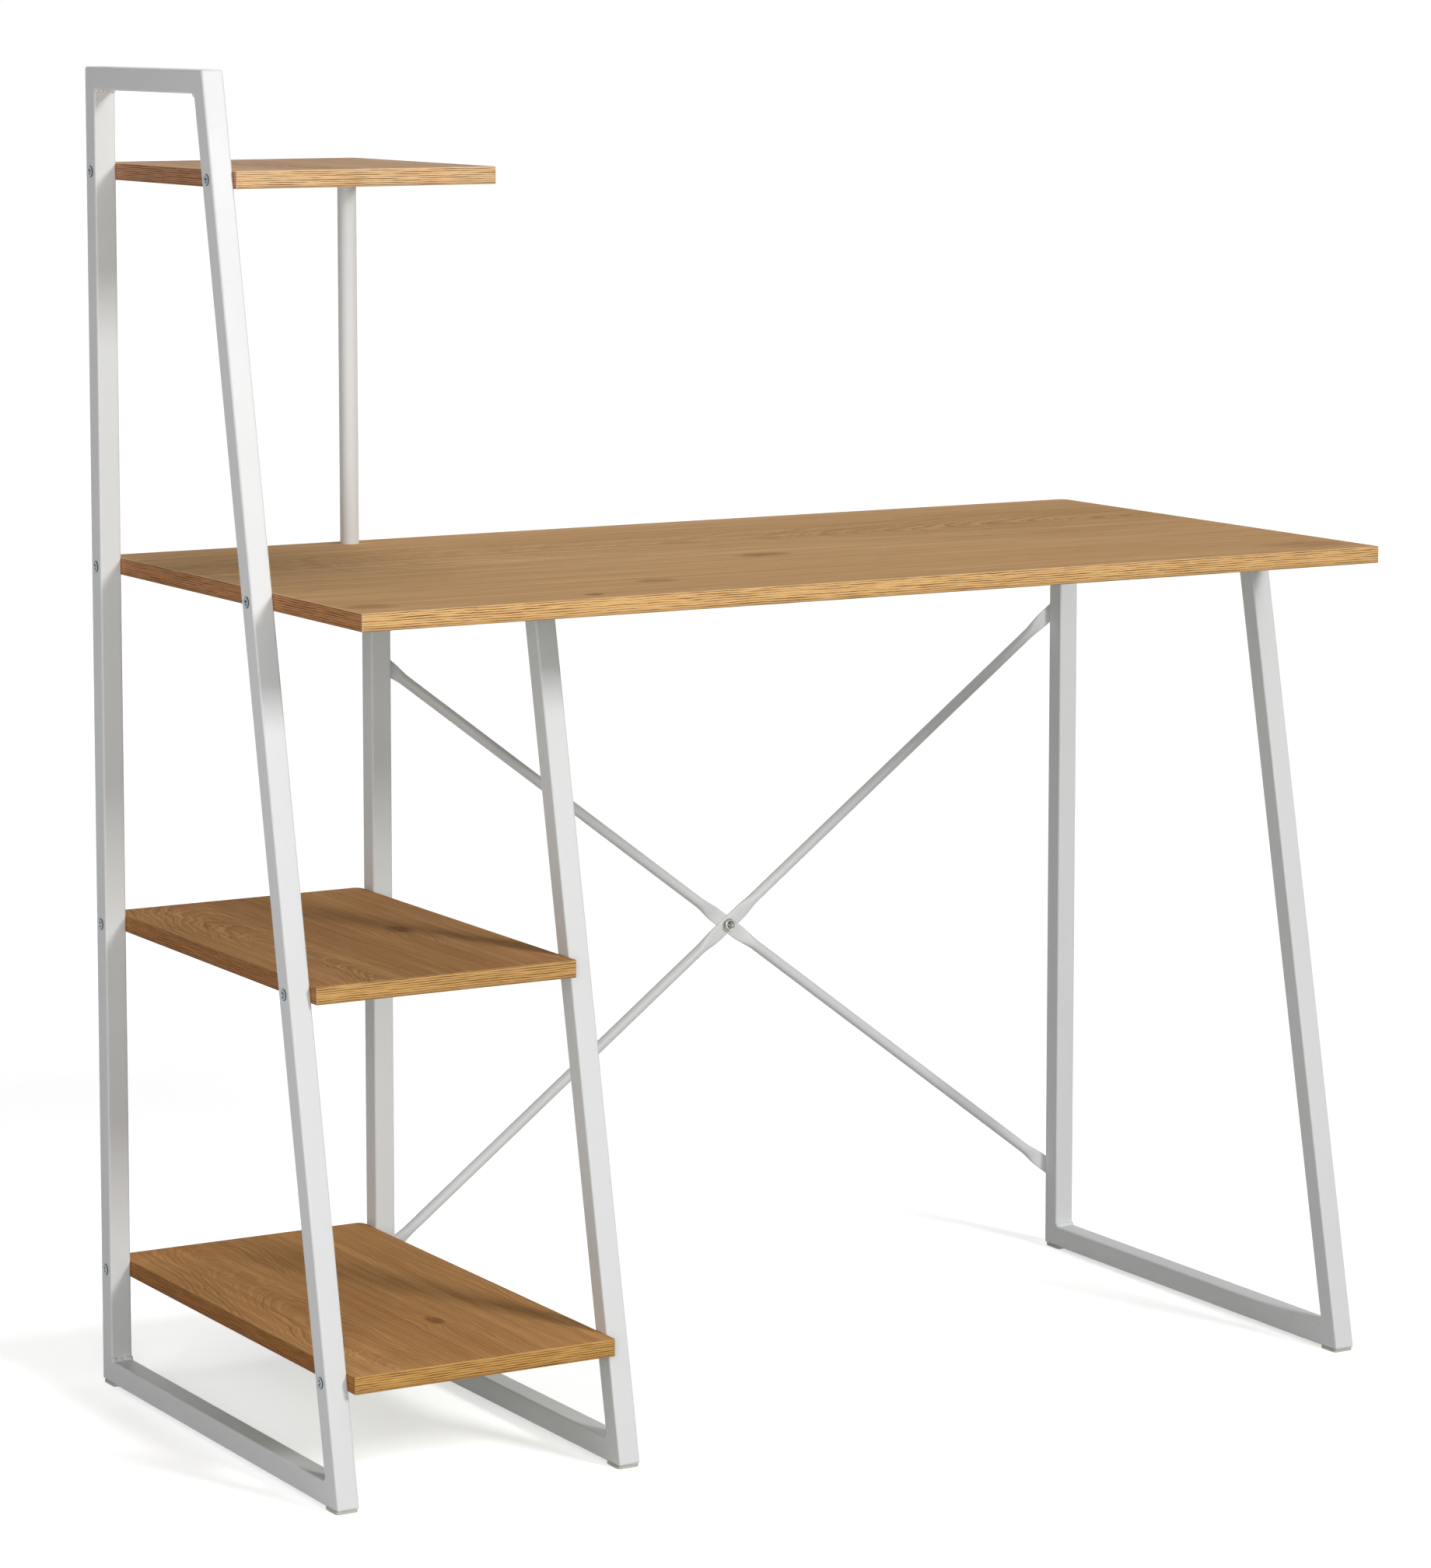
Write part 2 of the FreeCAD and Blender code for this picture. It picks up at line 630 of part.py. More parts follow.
def fasteners():
    edge_screw = screw_master("edge_screw", "tube_size + edge_screw_bite")
    face_screw = screw_master("face_screw", "tube_size + face_screw_bite")
    edge_insert = ring_master("edge_insert", "insert_diameter", HOLE, "edge_insert_length")
    face_insert = ring_master("face_insert", "insert_diameter", HOLE, "face_insert_length")
    inner_outside = f"{SHELF_RIGHT} + tube_size"
    ladder_places = []
    ladder_inserts = []
    for board in BOARDS:
        ladder_places += screw_places(ladder, board, "left", LADDER_FACE)
        ladder_inserts += screw_places(ladder, board, "right", BOARD_LEFT)
    group("ladder_screws", edge_screw, ladder_places)
    group("ladder_side_inserts", edge_insert, ladder_inserts)
    inner_places = []
    inner_inserts = []
    for board in LOW_SHELVES:
        inner_places += screw_places(inner, board, "right", inner_outside)
        inner_inserts += screw_places(inner, board, "left", SHELF_RIGHT)
    group("inner_frame_screws", edge_screw, inner_places)
    group("inner_side_inserts", edge_insert, inner_inserts)
    underside = "desktop_height - board_thickness"
    rail_underside = f"{underside} - tube_size"
    rails = [
        (frame.middle, f"{frame.front} + {back}") for frame in (inner, right) for back in rail_screws(frame)
    ]
    group("desktop_screws", face_screw, [("down", *place, rail_underside) for place in rails])
    group("desktop_inserts", face_insert, [("up", *place, underside) for place in rails])
    shelf_underside = f"{TOP_SHELF_HEIGHT} - board_thickness"
    group("top_shelf_insert", face_insert, [("up", POST_X, POST_Y, shelf_underside)])


def shelf_post():
    """The round post with a threaded plug in each end, a screw from below and a stud above."""
    shelf_underside = f"{TOP_SHELF_HEIGHT} - board_thickness"
    inside = "post_diameter - 2*post_wall"
    tube = ring_master("shelf_post", "post_diameter", inside, f"{shelf_underside} - desktop_height")
    put(tube, POST_X, POST_Y, "desktop_height")
    node(tube)
    plug = ring_master("post_plug", f"{inside} - 2*fit_clearance", HOLE, "post_plug_length")
    group("post_plugs", plug, [
        ("up", POST_X, POST_Y, "desktop_height"),
        ("down", POST_X, POST_Y, shelf_underside),
    ])
    screw = screw_master("post_screw_master", "board_thickness + post_screw_bite")
    group("post_screw", screw, [("down", POST_X, POST_Y, "desktop_height - board_thickness")])
    stud = doc.addObject("Part::Cylinder", "post_stud")
    bind(stud, Radius="screw_diameter/2", Height="post_screw_bite + face_screw_bite")
    put(stud, POST_X, POST_Y, f"{shelf_underside} - post_screw_bite")
    node(stud)


# The brace's holes, as shares of the way from one end hole to the other.
BRACE_HOLE_SHARES = (0.0, 0.5, 1.0)


def brace_section(along, shift, half_width, half_thickness):
    """A closed section of four edges across the brace: round where both halves are alike, else a slot."""
    round_tube = near(half_width, half_thickness)
    thick = half_width * math.sqrt(0.5) if round_tube else half_thickness
    wide = thick if round_tube else half_width - half_thickness

    def at(back, up):
        return FreeCAD.Vector(along, shift + back, up)

    upper = Part.Arc(at(-thick, wide), at(0, half_width), at(thick, wide)).toShape()
    lower = Part.Arc(at(thick, -wide), at(0, -half_width), at(-thick, -wide)).toShape()
    if round_tube:
        rear = Part.Arc(at(thick, wide), at(half_thickness, 0), at(thick, -wide)).toShape()
        front = Part.Arc(at(-thick, -wide), at(-half_thickness, 0), at(-thick, wide)).toShape()
    else:
        rear = Part.LineSegment(at(thick, wide), at(thick, -wide)).toShape()
        front = Part.LineSegment(at(-thick, -wide), at(-thick, wide)).toShape()
    return Part.Wire([upper, rear, lower, front])


def brace(label, falls):
    """A round tube pressed flat at both ends and in the middle, where the two braces lie on each other."""
    span = measure(f"{RIGHT_X} - ({INNER_X})")
    rise = measure("brace_upper_height - brace_lower_height")
    length = math.hypot(span, rise)
    flat = (measure("brace_flat_width/2"), measure("brace_flat_thickness/2"))
    tube = (measure("brace_diameter/2"), measure("brace_diameter/2"))
    aside = flat[1] if falls else -flat[1]
    margin = measure("brace_end_margin")
    end_flat = measure("brace_end_flat")
    taper = measure("brace_taper")
    middle = length / 2
    half_middle = measure("brace_middle_flat/2")
    stations = [
        (-margin, 0, flat),
        (end_flat, 0, flat),
        (end_flat + taper, 0, tube),
        (middle - half_middle - taper, 0, tube),
        (middle - half_middle, aside, flat),
        (middle, aside, flat),
    ]
    stations += [(length - along, shift, shape) for along, shift, shape in reversed(stations[:-1])]
    sections = [brace_section(along, shift, *shape) for along, shift, shape in stations]
    solid = Part.makeLoft(sections, True, True)
    bore = measure("brace_diameter/2 - brace_wall")
    first, last = end_flat + taper, middle - half_middle - taper
    along, across = FreeCAD.Vector(1, 0, 0), FreeCAD.Vector(0, 1, 0)
    for start in (first, length - last):
        solid = solid.cut(Part.makeCylinder(bore, last - first, along * start, along))
    depth = measure("brace_diameter + 2*cut_overrun")
    for share in BRACE_HOLE_SHARES:
        foot = FreeCAD.Vector(share * length, -depth / 2, 0)
        solid = solid.cut(Part.makeCylinder(measure(HOLE) / 2, depth, foot, across))
    thing = doc.addObject("Part::Feature", label)
    thing.Label = label
    thing.Shape = solid
    start = measure("brace_upper_height" if falls else "brace_lower_height")
    turn = math.degrees(math.atan2(rise, span))
    thing.Placement = FreeCAD.Placement(
        FreeCAD.Vector(measure(INNER_X), measure(f"{FRAME_REAR} + brace_flat_thickness/2"), start),
        FreeCAD.Rotation(FreeCAD.Vector(0, 1 if falls else -1, 0), turn),
    )
    return node(thing)


def brace_fasteners():
    brace("falling_brace", True)
    brace("rising_brace", False)
    crossing_x = f"({INNER_X} + {RIGHT_X})/2"
    crossing_z = "(brace_upper_height + brace_lower_height)/2"
    bolt = screw_master("brace_bolt_master", "2*brace_flat_thickness + nut_height + bolt_tip")
    bolt_seat = f"{FRAME_REAR} + 3*brace_flat_thickness/2"
    group("brace_bolt", bolt, [("rear", crossing_x, bolt_seat, crossing_z)])
    nut = doc.addObject("Part::Prism", "nut_blank")
    nut.Polygon = 6
    bind(nut, Circumradius="nut_width/sqrt(3)", Height="nut_height")
    hole = doc.addObject("Part::Cylinder", "nut_hole")
    bind(hole, Radius=f"({HOLE})/2", Height="nut_height")
    brace_nut = doc.addObject("Part::Cut", "brace_nut")
    brace_nut.Base = nut
    brace_nut.Tool = hole
    brace_nut.Placement = FreeCAD.Placement(FreeCAD.Vector(), TURNS["front"])
    put(brace_nut, crossing_x, f"{FRAME_REAR} - brace_flat_thickness/2", crossing_z)
    node(brace_nut)
    screw = screw_master("brace_screw_master", "brace_flat_thickness + brace_screw_bite")
    ends = [(frame.middle, level) for frame in (inner, right) for level in BRACE_LEVELS]
    group("brace_screws", screw, [
        ("rear", across, f"{FRAME_REAR} + brace_flat_thickness", level) for across, level in ends
    ])
    rivet_nut = ring_master("rivet_nut", "rivet_nut_diameter", HOLE, "rivet_nut_length")
    group("brace_rivet_nuts", rivet_nut, [("front", across, FRAME_REAR, level) for across, level in ends])


frame_tubes()
for frame in (ladder, inner, right):
    frame.welds()
    frame.pads()
boards()
fasteners()
shelf_post()
brace_fasteners()
doc.recompute()

failed = [item.Name for item in doc.Objects if "Invalid" in item.State or "Error" in item.State]
failed += [item.Label for item in nodes if item.Shape.isNull() or not item.Shape.isValid()]
if failed:
    raise RuntimeError("not built: " + ", ".join(failed))
os.makedirs("parts", exist_ok=True)
for item in nodes:
    item.Shape.exportStep(f"parts/{item.Label}.step")
whole = Part.makeCompound([item.Shape for item in nodes])
print(f"{len(nodes)} sub-parts, {len(whole.Solids)} solids, {whole.BoundBox}")
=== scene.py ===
# %% [markdown]
# # A ladder desk, dressed
# The desk is white tube, wood-look boards and a few fasteners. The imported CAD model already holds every
# piece at its real place and size, in metres, with X to the right, Y to the rear and Z up. This lesson
# loads that model, gives each surface its finish, and replaces the pieces whose small forms show close up:
# the boards' eased edges, screws, welds, pressed brace tubes and foot pads.

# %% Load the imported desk
import json
import math

import bmesh
import bpy
from mathutils import Matrix, Vector


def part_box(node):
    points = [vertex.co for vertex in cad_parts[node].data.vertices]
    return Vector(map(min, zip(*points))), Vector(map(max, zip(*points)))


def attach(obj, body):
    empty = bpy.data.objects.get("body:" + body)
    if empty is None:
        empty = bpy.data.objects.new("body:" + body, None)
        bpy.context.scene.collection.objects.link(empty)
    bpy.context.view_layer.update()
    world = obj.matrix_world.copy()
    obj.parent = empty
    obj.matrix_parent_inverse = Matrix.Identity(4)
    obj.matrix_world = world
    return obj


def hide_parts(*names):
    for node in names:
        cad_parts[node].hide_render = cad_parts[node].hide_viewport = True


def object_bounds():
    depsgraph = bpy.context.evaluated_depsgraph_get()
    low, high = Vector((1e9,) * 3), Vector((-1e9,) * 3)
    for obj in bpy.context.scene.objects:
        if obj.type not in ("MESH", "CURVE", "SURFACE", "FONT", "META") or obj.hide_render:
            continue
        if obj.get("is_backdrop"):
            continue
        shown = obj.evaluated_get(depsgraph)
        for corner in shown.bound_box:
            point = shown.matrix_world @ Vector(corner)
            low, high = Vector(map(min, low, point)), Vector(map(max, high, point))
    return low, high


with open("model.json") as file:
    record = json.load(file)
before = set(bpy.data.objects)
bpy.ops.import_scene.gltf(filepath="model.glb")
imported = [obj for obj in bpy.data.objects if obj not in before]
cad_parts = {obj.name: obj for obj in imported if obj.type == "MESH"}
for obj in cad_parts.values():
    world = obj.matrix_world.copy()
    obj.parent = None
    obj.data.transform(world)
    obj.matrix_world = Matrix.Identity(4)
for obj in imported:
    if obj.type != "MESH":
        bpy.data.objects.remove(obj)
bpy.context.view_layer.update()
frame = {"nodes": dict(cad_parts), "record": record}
nodes = frame["nodes"]
scene = bpy.context.scene
BODY = "root"
MM = 0.001
QUARTER = math.pi / 2

# %% [markdown]
# ## The camera
# The photograph was taken from the left of the desk's front, a little above the desktop, with a long lens.
# The place, turn and lens below come from fitting the desk's straight edges. The camera looks slightly
# down, so only a small vertical shift is left, and the other views stay in the frame.

# %% Camera
IMAGE_LONG_SIDE = 2016
FOCAL_PIXELS = 6629.0
SENSOR_WIDTH = 36.0
CAMERA_PLACE = (-2.3049, -3.9317, 1.2348)
LOOKS_DOWN = 6.656
LOOKS_RIGHT = 30.121
FRAMING_SHIFT = -0.12
FAR_CLIP = 100.0

camera = bpy.data.objects.new("camera", bpy.data.cameras.new("camera"))
scene.collection.objects.link(camera)
camera.location = CAMERA_PLACE
camera.rotation_euler = (QUARTER - math.radians(LOOKS_DOWN), 0, -math.radians(LOOKS_RIGHT))
camera.data.sensor_width = SENSOR_WIDTH
camera.data.lens = FOCAL_PIXELS / IMAGE_LONG_SIDE * SENSOR_WIDTH
camera.data.shift_y = FRAMING_SHIFT
camera.data.clip_end = FAR_CLIP
scene.camera = camera
print(f"lens {camera.data.lens:.1f} mm")

# %% [markdown]
# ## Lamps
# A large soft lamp stands far off at the front right, so the desktop shades the tops of the front legs
# behind it. Weaker lamps fill from the front left, low and high, and from the left, two wide ones hang
# above, and a low one stands behind, so that the rear of the frames shows its white too.

# %% Lamps
LAMPS = {
    # name: (place, target, width, height, watts)
    "key": ((1.88, -5.55, 3.55), (0.0, -0.1, 0.55), 1.1, 1.4, 216.0),
    "high_fill": ((-2.3, -2.7, 2.1), (0.0, -0.1, 0.4), 1.2, 1.2, 8.0),
    "front_fill": ((-1.7, -2.6, 0.75), (0.0, -0.1, 0.35), 1.2, 1.2, 25.0),
    "left_fill": ((-2.1, -0.35, 0.85), (-0.4, 0.0, 0.5), 1.0, 1.4, 6.4),
    "high_front": ((-0.2, -2.2, 3.4), (0.0, 0.0, 0.6), 2.4, 1.2, 3.0),
    "top": ((0.3, 0.0, 3.6), (0.1, 0.0, 0.0), 2.4, 1.6, 31.0),
    "rear_fill": ((0.9, 4.0, 0.35), (0.0, 0.25, 0.5), 1.6, 0.6, 46.0),
}


def lamp(name, place, target, width, height, watts):
    """A soft rectangular lamp that looks at a target and isn't itself in the picture."""
    light = bpy.data.lights.new(name, "AREA")
    light.shape = "RECTANGLE"
    light.size = width
    light.size_y = height
    light.energy = watts
    holder = bpy.data.objects.new(name, light)
    holder.visible_camera = False
    holder.location = place
    holder.rotation_euler = (Vector(target) - Vector(place)).to_track_quat("-Z", "Y").to_euler()
    scene.collection.objects.link(holder)


for name, settings in LAMPS.items():
    lamp(name, *settings)
# The lamp behind would glare off the rails' upper faces, so it only lights and isn't reflected.
bpy.data.objects["rear_fill"].visible_glossy = False
scene.view_settings.view_transform = "Standard"
print(f"{len(LAMPS)} lamps")

# %% [markdown]
# ## World and floor
# Every finish below is a tree of nodes. Two small classes let it be written as a recipe: one adds nodes, and
# the other stands for a node's output, so that a sum of outputs is written as a sum.
#
# The world gives almost no light from the front, and acts as a lit backdrop from the rear, so the back of
# the desk isn't dark. The floor is pale paper; where the camera or a reflection looks at it, part of it is
# plain white, and the rest still takes the desk's shadow.

# %% Recipes
WHITE = (1, 1, 1, 1)
ORIGIN = (0, 0, 0)
# Noise gathers round a half: most of it lies in the first range, and nearly all of it in the second.
MOST_NOISE = (0.3, 0.7)
WIDE_NOISE = (0.2, 0.8)


class Feed:
    """A node's output. Reckoning with it adds the next node."""

    def __init__(self, recipe, socket):
        self.make = recipe.make
        self.outputs = recipe.outputs
        self.socket = socket

    def math(self, operation, other=0.0):
        return self.make("ShaderNodeMath", {0: self, 1: other}, operation=operation)

    def __add__(self, other):
        return self.math("ADD", other)

    def __sub__(self, other):
        return self.math("SUBTRACT", other)

    def __mul__(self, other):
        return self.math("MULTIPLY", other)

    def __truediv__(self, other):
        return self.math("DIVIDE", other)

    def larger(self, other):
        return self.math("MAXIMUM", other)

    def vector(self, operation, other=ORIGIN):
        return self.make("ShaderNodeVectorMath", {0: self, 1: other}, operation=operation)

    def split(self):
        return list(self.outputs("ShaderNodeSeparateXYZ", {0: self}).values())

    def span(self, low, high, to_low=0.0, to_high=1.0, smooth=False):
        """Spreads a value from one range to another and holds it there."""
        kind = "SMOOTHSTEP" if smooth else "LINEAR"
        feeds = {"Value": self, "From Min": low, "From Max": high, "To Min": to_low, "To Max": to_high}
        return self.make("ShaderNodeMapRange", feeds, interpolation_type=kind)

    def swing(self, reach):
        """Turns noise into a push of up to a reach either way."""
        return self.span(*WIDE_NOISE, -reach, reach)

    def mix(self, first, second, kind="RGBA"):
        """Goes from the first to the second as this goes from 0 to 1."""
        return self.make("ShaderNodeMix", {"Factor": self, "A": first, "B": second}, data_type=kind)

    def noise(self, scale, detail=2.0, roughness=0.5):
        feeds = {"Vector": self, "Scale": scale, "Detail": detail, "Roughness": roughness}
        return self.make("ShaderNodeTexNoise", feeds, noise_dimensions="3D")

    def stretch(self, scale, place=ORIGIN, turn=0.0):
        """Moves, turns about Z and scales a pattern's space."""
        feeds = {"Vector": self, "Location": place, "Rotation": (0, 0, turn), "Scale": scale}
        return self.make("ShaderNodeMapping", feeds, vector_type="POINT")

    def grain(self, scale, detail=2.0, roughness=0.5, place=ORIGIN):
        """Noise with a scale of its own along each axis."""
        return self.stretch(scale, place).noise(1.0, detail, roughness)


class Recipe:
    """Adds nodes to a tree."""

    def __init__(self, tree):
        self.tree = tree

    def add(self, kind, feeds=None, **settings):
        """A new node, with feeds for its sockets by name or number."""
        node = self.tree.nodes.new(kind)
        for name, value in settings.items():
            setattr(node, name, value)
        for key, feed in (feeds or {}).items():
            # of the sockets that share a name, the settings leave one in use
            named = [socket for socket in node.inputs if socket.name == key and socket.enabled]
            socket = named[0] if named else node.inputs[key]
            if isinstance(feed, Feed):
                self.tree.links.new(feed.socket, socket)
            else:
                socket.default_value = feed
        return node

    def outputs(self, kind, feeds=None, **settings):
        """Adds a node and gives back its outputs in use, by name."""
        sockets = self.add(kind, feeds, **settings).outputs
        return {socket.name: Feed(self, socket) for socket in sockets if socket.enabled}

    def make(self, kind, feeds=None, **settings):
        """Adds a node and gives back its first output in use."""
        return next(iter(self.outputs(kind, feeds, **settings).values()))

    def combine(self, x, y, z):
        return self.make("ShaderNodeCombineXYZ", {0: x, 1: y, 2: z})

    def spot(self, kind="Object"):
        return self.outputs("ShaderNodeTexCoord")[kind]

    def seen_directly(self):
        """1 where the camera, a reflection or a look through glass meets the surface, else 0."""
        path = self.outputs("ShaderNodeLightPath")
        return path["Is Camera Ray"].larger(path["Is Glossy Ray"]).larger(path["Is Transmission Ray"])


def blank(owner):
    """The empty node tree of a new world or material, as a recipe."""
    owner.use_nodes = True
    owner.node_tree.nodes.clear()
    return Recipe(owner.node_tree)


# %% World and floor
AMBIENT = 0.02
BACKDROP = 0.25
BACKDROP_EDGE = (0.72, 0.98)
FLOOR_HALF = 40.0
FLOOR_BOUNCE = (0.40, 0.40, 0.40, 1)
FLOOR_SEEN = (2.4, 2.4, 2.4, 1)
PLAIN_WHITE_SHARE = 0.5
SHADOW_REACH = (1.0, 2.4)
PAPER_GRAIN = 6000.0
GRAIN_GLOW = (0.9, 1.25)

scene.world = bpy.data.worlds.new("studio")
studio = blank(scene.world)
level = studio.spot("Generated").split()[1].span(*BACKDROP_EDGE, AMBIENT, BACKDROP, smooth=True)
dim = studio.make("ShaderNodeBackground", {"Color": WHITE, "Strength": level})
white = studio.make("ShaderNodeBackground", {"Color": WHITE, "Strength": 1.0})
sky = studio.make("ShaderNodeMixShader", {0: studio.seen_directly(), 1: dim, 2: white})
studio.add("ShaderNodeOutputWorld", {"Surface": sky})

paper = bpy.data.materials.new("floor paper")
sheet = blank(paper)
seen, spot = sheet.seen_directly(), sheet.spot()
matt = sheet.make("ShaderNodeBsdfDiffuse", {"Color": seen.mix(FLOOR_BOUNCE, FLOOR_SEEN)})
grain = spot.noise(PAPER_GRAIN, 0.0).span(*MOST_NOISE, *GRAIN_GLOW)
glow = sheet.make("ShaderNodeEmission", {"Color": WHITE, "Strength": grain})
plain = spot.vector("LENGTH").span(*SHADOW_REACH, PLAIN_WHITE_SHARE, 1.0, smooth=True)
blend = sheet.make("ShaderNodeMixShader", {0: plain * seen, 1: matt, 2: glow})
sheet.add("ShaderNodeOutputMaterial", {"Surface": blend})

corners = [(x * FLOOR_HALF, y * FLOOR_HALF, 0) for x, y in ((-1, -1), (1, -1), (1, 1), (-1, 1))]
floor_mesh = bpy.data.meshes.new("floor")
floor_mesh.from_pydata(corners, [], [(0, 1, 2, 3)])
floor_mesh.materials.append(paper)
floor = bpy.data.objects.new("floor", floor_mesh)
scene.collection.objects.link(floor)
floor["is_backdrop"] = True
print(f"ambient {AMBIENT}, backdrop {BACKDROP}")

# %% [markdown]
# ## White powder coat
# Powder coat melts into a satin skin with a fine orange-peel texture. It is one finish on every tube, on the
# brace and over the welds, so its texture is a node group: tone, roughness and height change over the
# surface, and the material itself holds the shader.

# %% Coat texture group and material
FINISH_OUTPUTS = {"Color": "Color", "Roughness": "Float", "Height": "Float"}
GLOSS = "Specular IOR Level"
COAT_WHITE = (0.79, 0.80, 0.795, 1)
COAT_DULL = (0.55, 0.55, 0.52, 1)
COAT_SPECK = (0.45, 0.45, 0.43, 1)
COAT_GLOSS = 0.4
# A relief is (depth, strength).
COAT_RELIEF = (0.12 * MM, 0.2)


def new_group(name, inputs, outputs):
    """An empty shader node group whose inputs have values; gives back its recipe and its inputs by name."""
    tree = bpy.data.node_groups.new(name, "ShaderNodeTree")
    for label, value in inputs.items():
        kind = "Float" if isinstance(value, float) else "Vector" if len(value) == 3 else "Color"
        socket = tree.interface.new_socket(label, in_out="INPUT", socket_type=f"NodeSocket{kind}")
        socket.default_value = value
    for label, kind in outputs.items():
        tree.interface.new_socket(label, in_out="OUTPUT", socket_type=f"NodeSocket{kind}")
    recipe = Recipe(tree)
    return recipe, recipe.outputs("NodeGroupInput")


def close_group(recipe, feeds):
    recipe.add("NodeGroupOutput", feeds)
    return recipe.tree


def use_group(recipe, tree, feeds):
    return recipe.outputs("ShaderNodeGroup", feeds, node_tree=tree)


def new_material(name):
    """A new material, its recipe and its Object coordinates."""
    material = bpy.data.materials.new(name)
    recipe = blank(material)
    return material, recipe, recipe.spot()


def surface(recipe, finish, relief, constants):
    """Ends a material: its shader takes a finish's colour, roughness and height, and constants."""
    bump = {"Height": finish["Height"], "Distance": relief[0], "Strength": relief[1]}
    feeds = {"Base Color": finish["Color"], "Roughness": finish["Roughness"], **constants}
    feeds["Normal"] = recipe.make("ShaderNodeBump", bump)
    recipe.add("ShaderNodeOutputMaterial", {"Surface": recipe.make("ShaderNodeBsdfPrincipled", feeds)})


def coat_group():
    inputs = {"Vector": ORIGIN, "Peel Scale": 420.0, "White": WHITE}
    recipe, given = new_group("powder coat skin", inputs, FINISH_OUTPUTS)
    place = given["Vector"]
    peel = place.noise(given["Peel Scale"], 2.0, 0.45)
    broad, specks = place.noise(9.0), place.noise(2600.0, 1.0)
    dulled = broad.span(0.35, 0.75, 0.0, 0.05).mix(given["White"], COAT_DULL)
    color = specks.span(0.68, 0.8, 0.0, 0.05).mix(dulled, COAT_SPECK)
    roughness = peel.span(*MOST_NOISE, 0.34, 0.42) + broad.span(*MOST_NOISE, 0.0, 0.06)
    return close_group(recipe, {"Color": color, "Roughness": roughness, "Height": peel})


def group_material(name, tree, feeds, relief, gloss):
    """A material whose finish comes straight from a group."""
    material, recipe, place = new_material(name)
    surface(recipe, use_group(recipe, tree, {"Vector": place, **feeds}), relief, {GLOSS: gloss})
    return material


COAT = coat_group()
coat = group_material("white powder coat", COAT, {"White": COAT_WHITE}, COAT_RELIEF, COAT_GLOSS)
print(f"made {coat.name}")

# %% [markdown]
# ## Zinc, bright steel and pad plastic
# The screws are zinc plated: blue-grey, slightly patchy and satin. The brace nut and bolt are warmer and
# brighter. The pads are pale, slightly waxy plastic. A shared group gives the plated parts their cloudy tone
# and fine scratches. A screw's recess and thread and a ring under its head's rim are painted dark as shade,
# with some dirt in the recess, and so are the nut's hole and flats; each turned form carries an attribute
# that says where, and the finish darkens there.

# %% Plated metal and plastic
# near-black of the painted shade in hollows and under rims, with some dirt
SHADE_AND_DIRT = (0.012, 0.013, 0.014, 1)
ZINC, ZINC_SHADOW, ZINC_POLISH = (0.30, 0.345, 0.38, 1), (0.15, 0.175, 0.195, 1), 0.26
STEEL, STEEL_SHADOW, STEEL_POLISH = (0.60, 0.585, 0.53, 1), (0.34, 0.33, 0.29, 1), 0.16
PAD_PALE, PAD_DEEP, PAD_GRIME = (0.62, 0.63, 0.52, 1), (0.52, 0.53, 0.43, 1), (0.3, 0.3, 0.24, 1)
PLATE_RELIEF = (0.03 * MM, 0.5)
PAD_RELIEF = (0.1 * MM, 0.4)


def plating_group():
    inputs = {"Vector": ORIGIN, "Grime": 0.0, "Metal": WHITE, "Shadow": WHITE, "Dirt": WHITE, "Polish": 0.25}
    recipe, given = new_group("plated metal", inputs, FINISH_OUTPUTS)
    clouds = given["Vector"].noise(700.0, 3.0, 0.6)
    scratches = given["Vector"].grain((300, 300, 4000), 2.0, 0.6)
    color = clouds.span(0.35, 0.75, 0.0, 0.6).mix(given["Metal"], given["Shadow"])
    # painted shade, with some dirt: darkens towards near-black where the form's attribute says
    color = given["Grime"].span(0.0, 1.0, 0.0, 0.94).mix(color, given["Dirt"])
    roughness = given["Polish"] + scratches.span(0.3, 0.8, -0.05, 0.12) + given["Grime"] * 0.3
    return close_group(recipe, {"Color": color, "Roughness": roughness, "Height": scratches})


def plated_material(name, metal, shadow, polish):
    material, recipe, place = new_material(name)
    feeds = {"Vector": place, "Metal": metal, "Shadow": shadow, "Dirt": SHADE_AND_DIRT, "Polish": polish}
    # reads the share of painted shade and dirt that each turned form stores
    feeds["Grime"] = recipe.outputs("ShaderNodeAttribute", attribute_name="grime")["Fac"]
    surface(recipe, use_group(recipe, PLATING, feeds), PLATE_RELIEF, {"Metallic": 1.0})
    return material


def plastic_material():
    material, recipe, place = new_material("waxy pad plastic")
    clouds = place.noise(260.0, 3.0, 0.6)
    grime = place.noise(900.0)
    pale = clouds.span(*MOST_NOISE).mix(PAD_PALE, PAD_DEEP)
    color = grime.span(0.62, 0.8, 0.0, 0.3).mix(pale, PAD_GRIME)
    finish = {"Color": color, "Roughness": clouds.span(*MOST_NOISE, 0.42, 0.58), "Height": grime}
    surface(recipe, finish, PAD_RELIEF, {})
    return material


PLATING = plating_group()
zinc = plated_material("zinc plate", ZINC, ZINC_SHADOW, ZINC_POLISH)
bright = plated_material("bright steel", STEEL, STEEL_SHADOW, STEEL_POLISH)
pad_plastic = plastic_material()
print(f"made {zinc.name}, {bright.name}, {pad_plastic.name}")

# %% [markdown]
# ## Oak laminate
# The boards carry a printed oak figure. A log's growth rings are cones round its heart. A saw cut that runs
# close to the heart meets them at a low angle, which draws nested arches along the heart line, and further
# out the same rings show as straight lines. The group does that sum: the distance from a heart that lies
# under the face and sinks along the board, counted in ring widths. A noise texture alone gives blobs like
# marble, so noise only bends this figure. Knots push the rings aside, and fibres and pores lie over them.

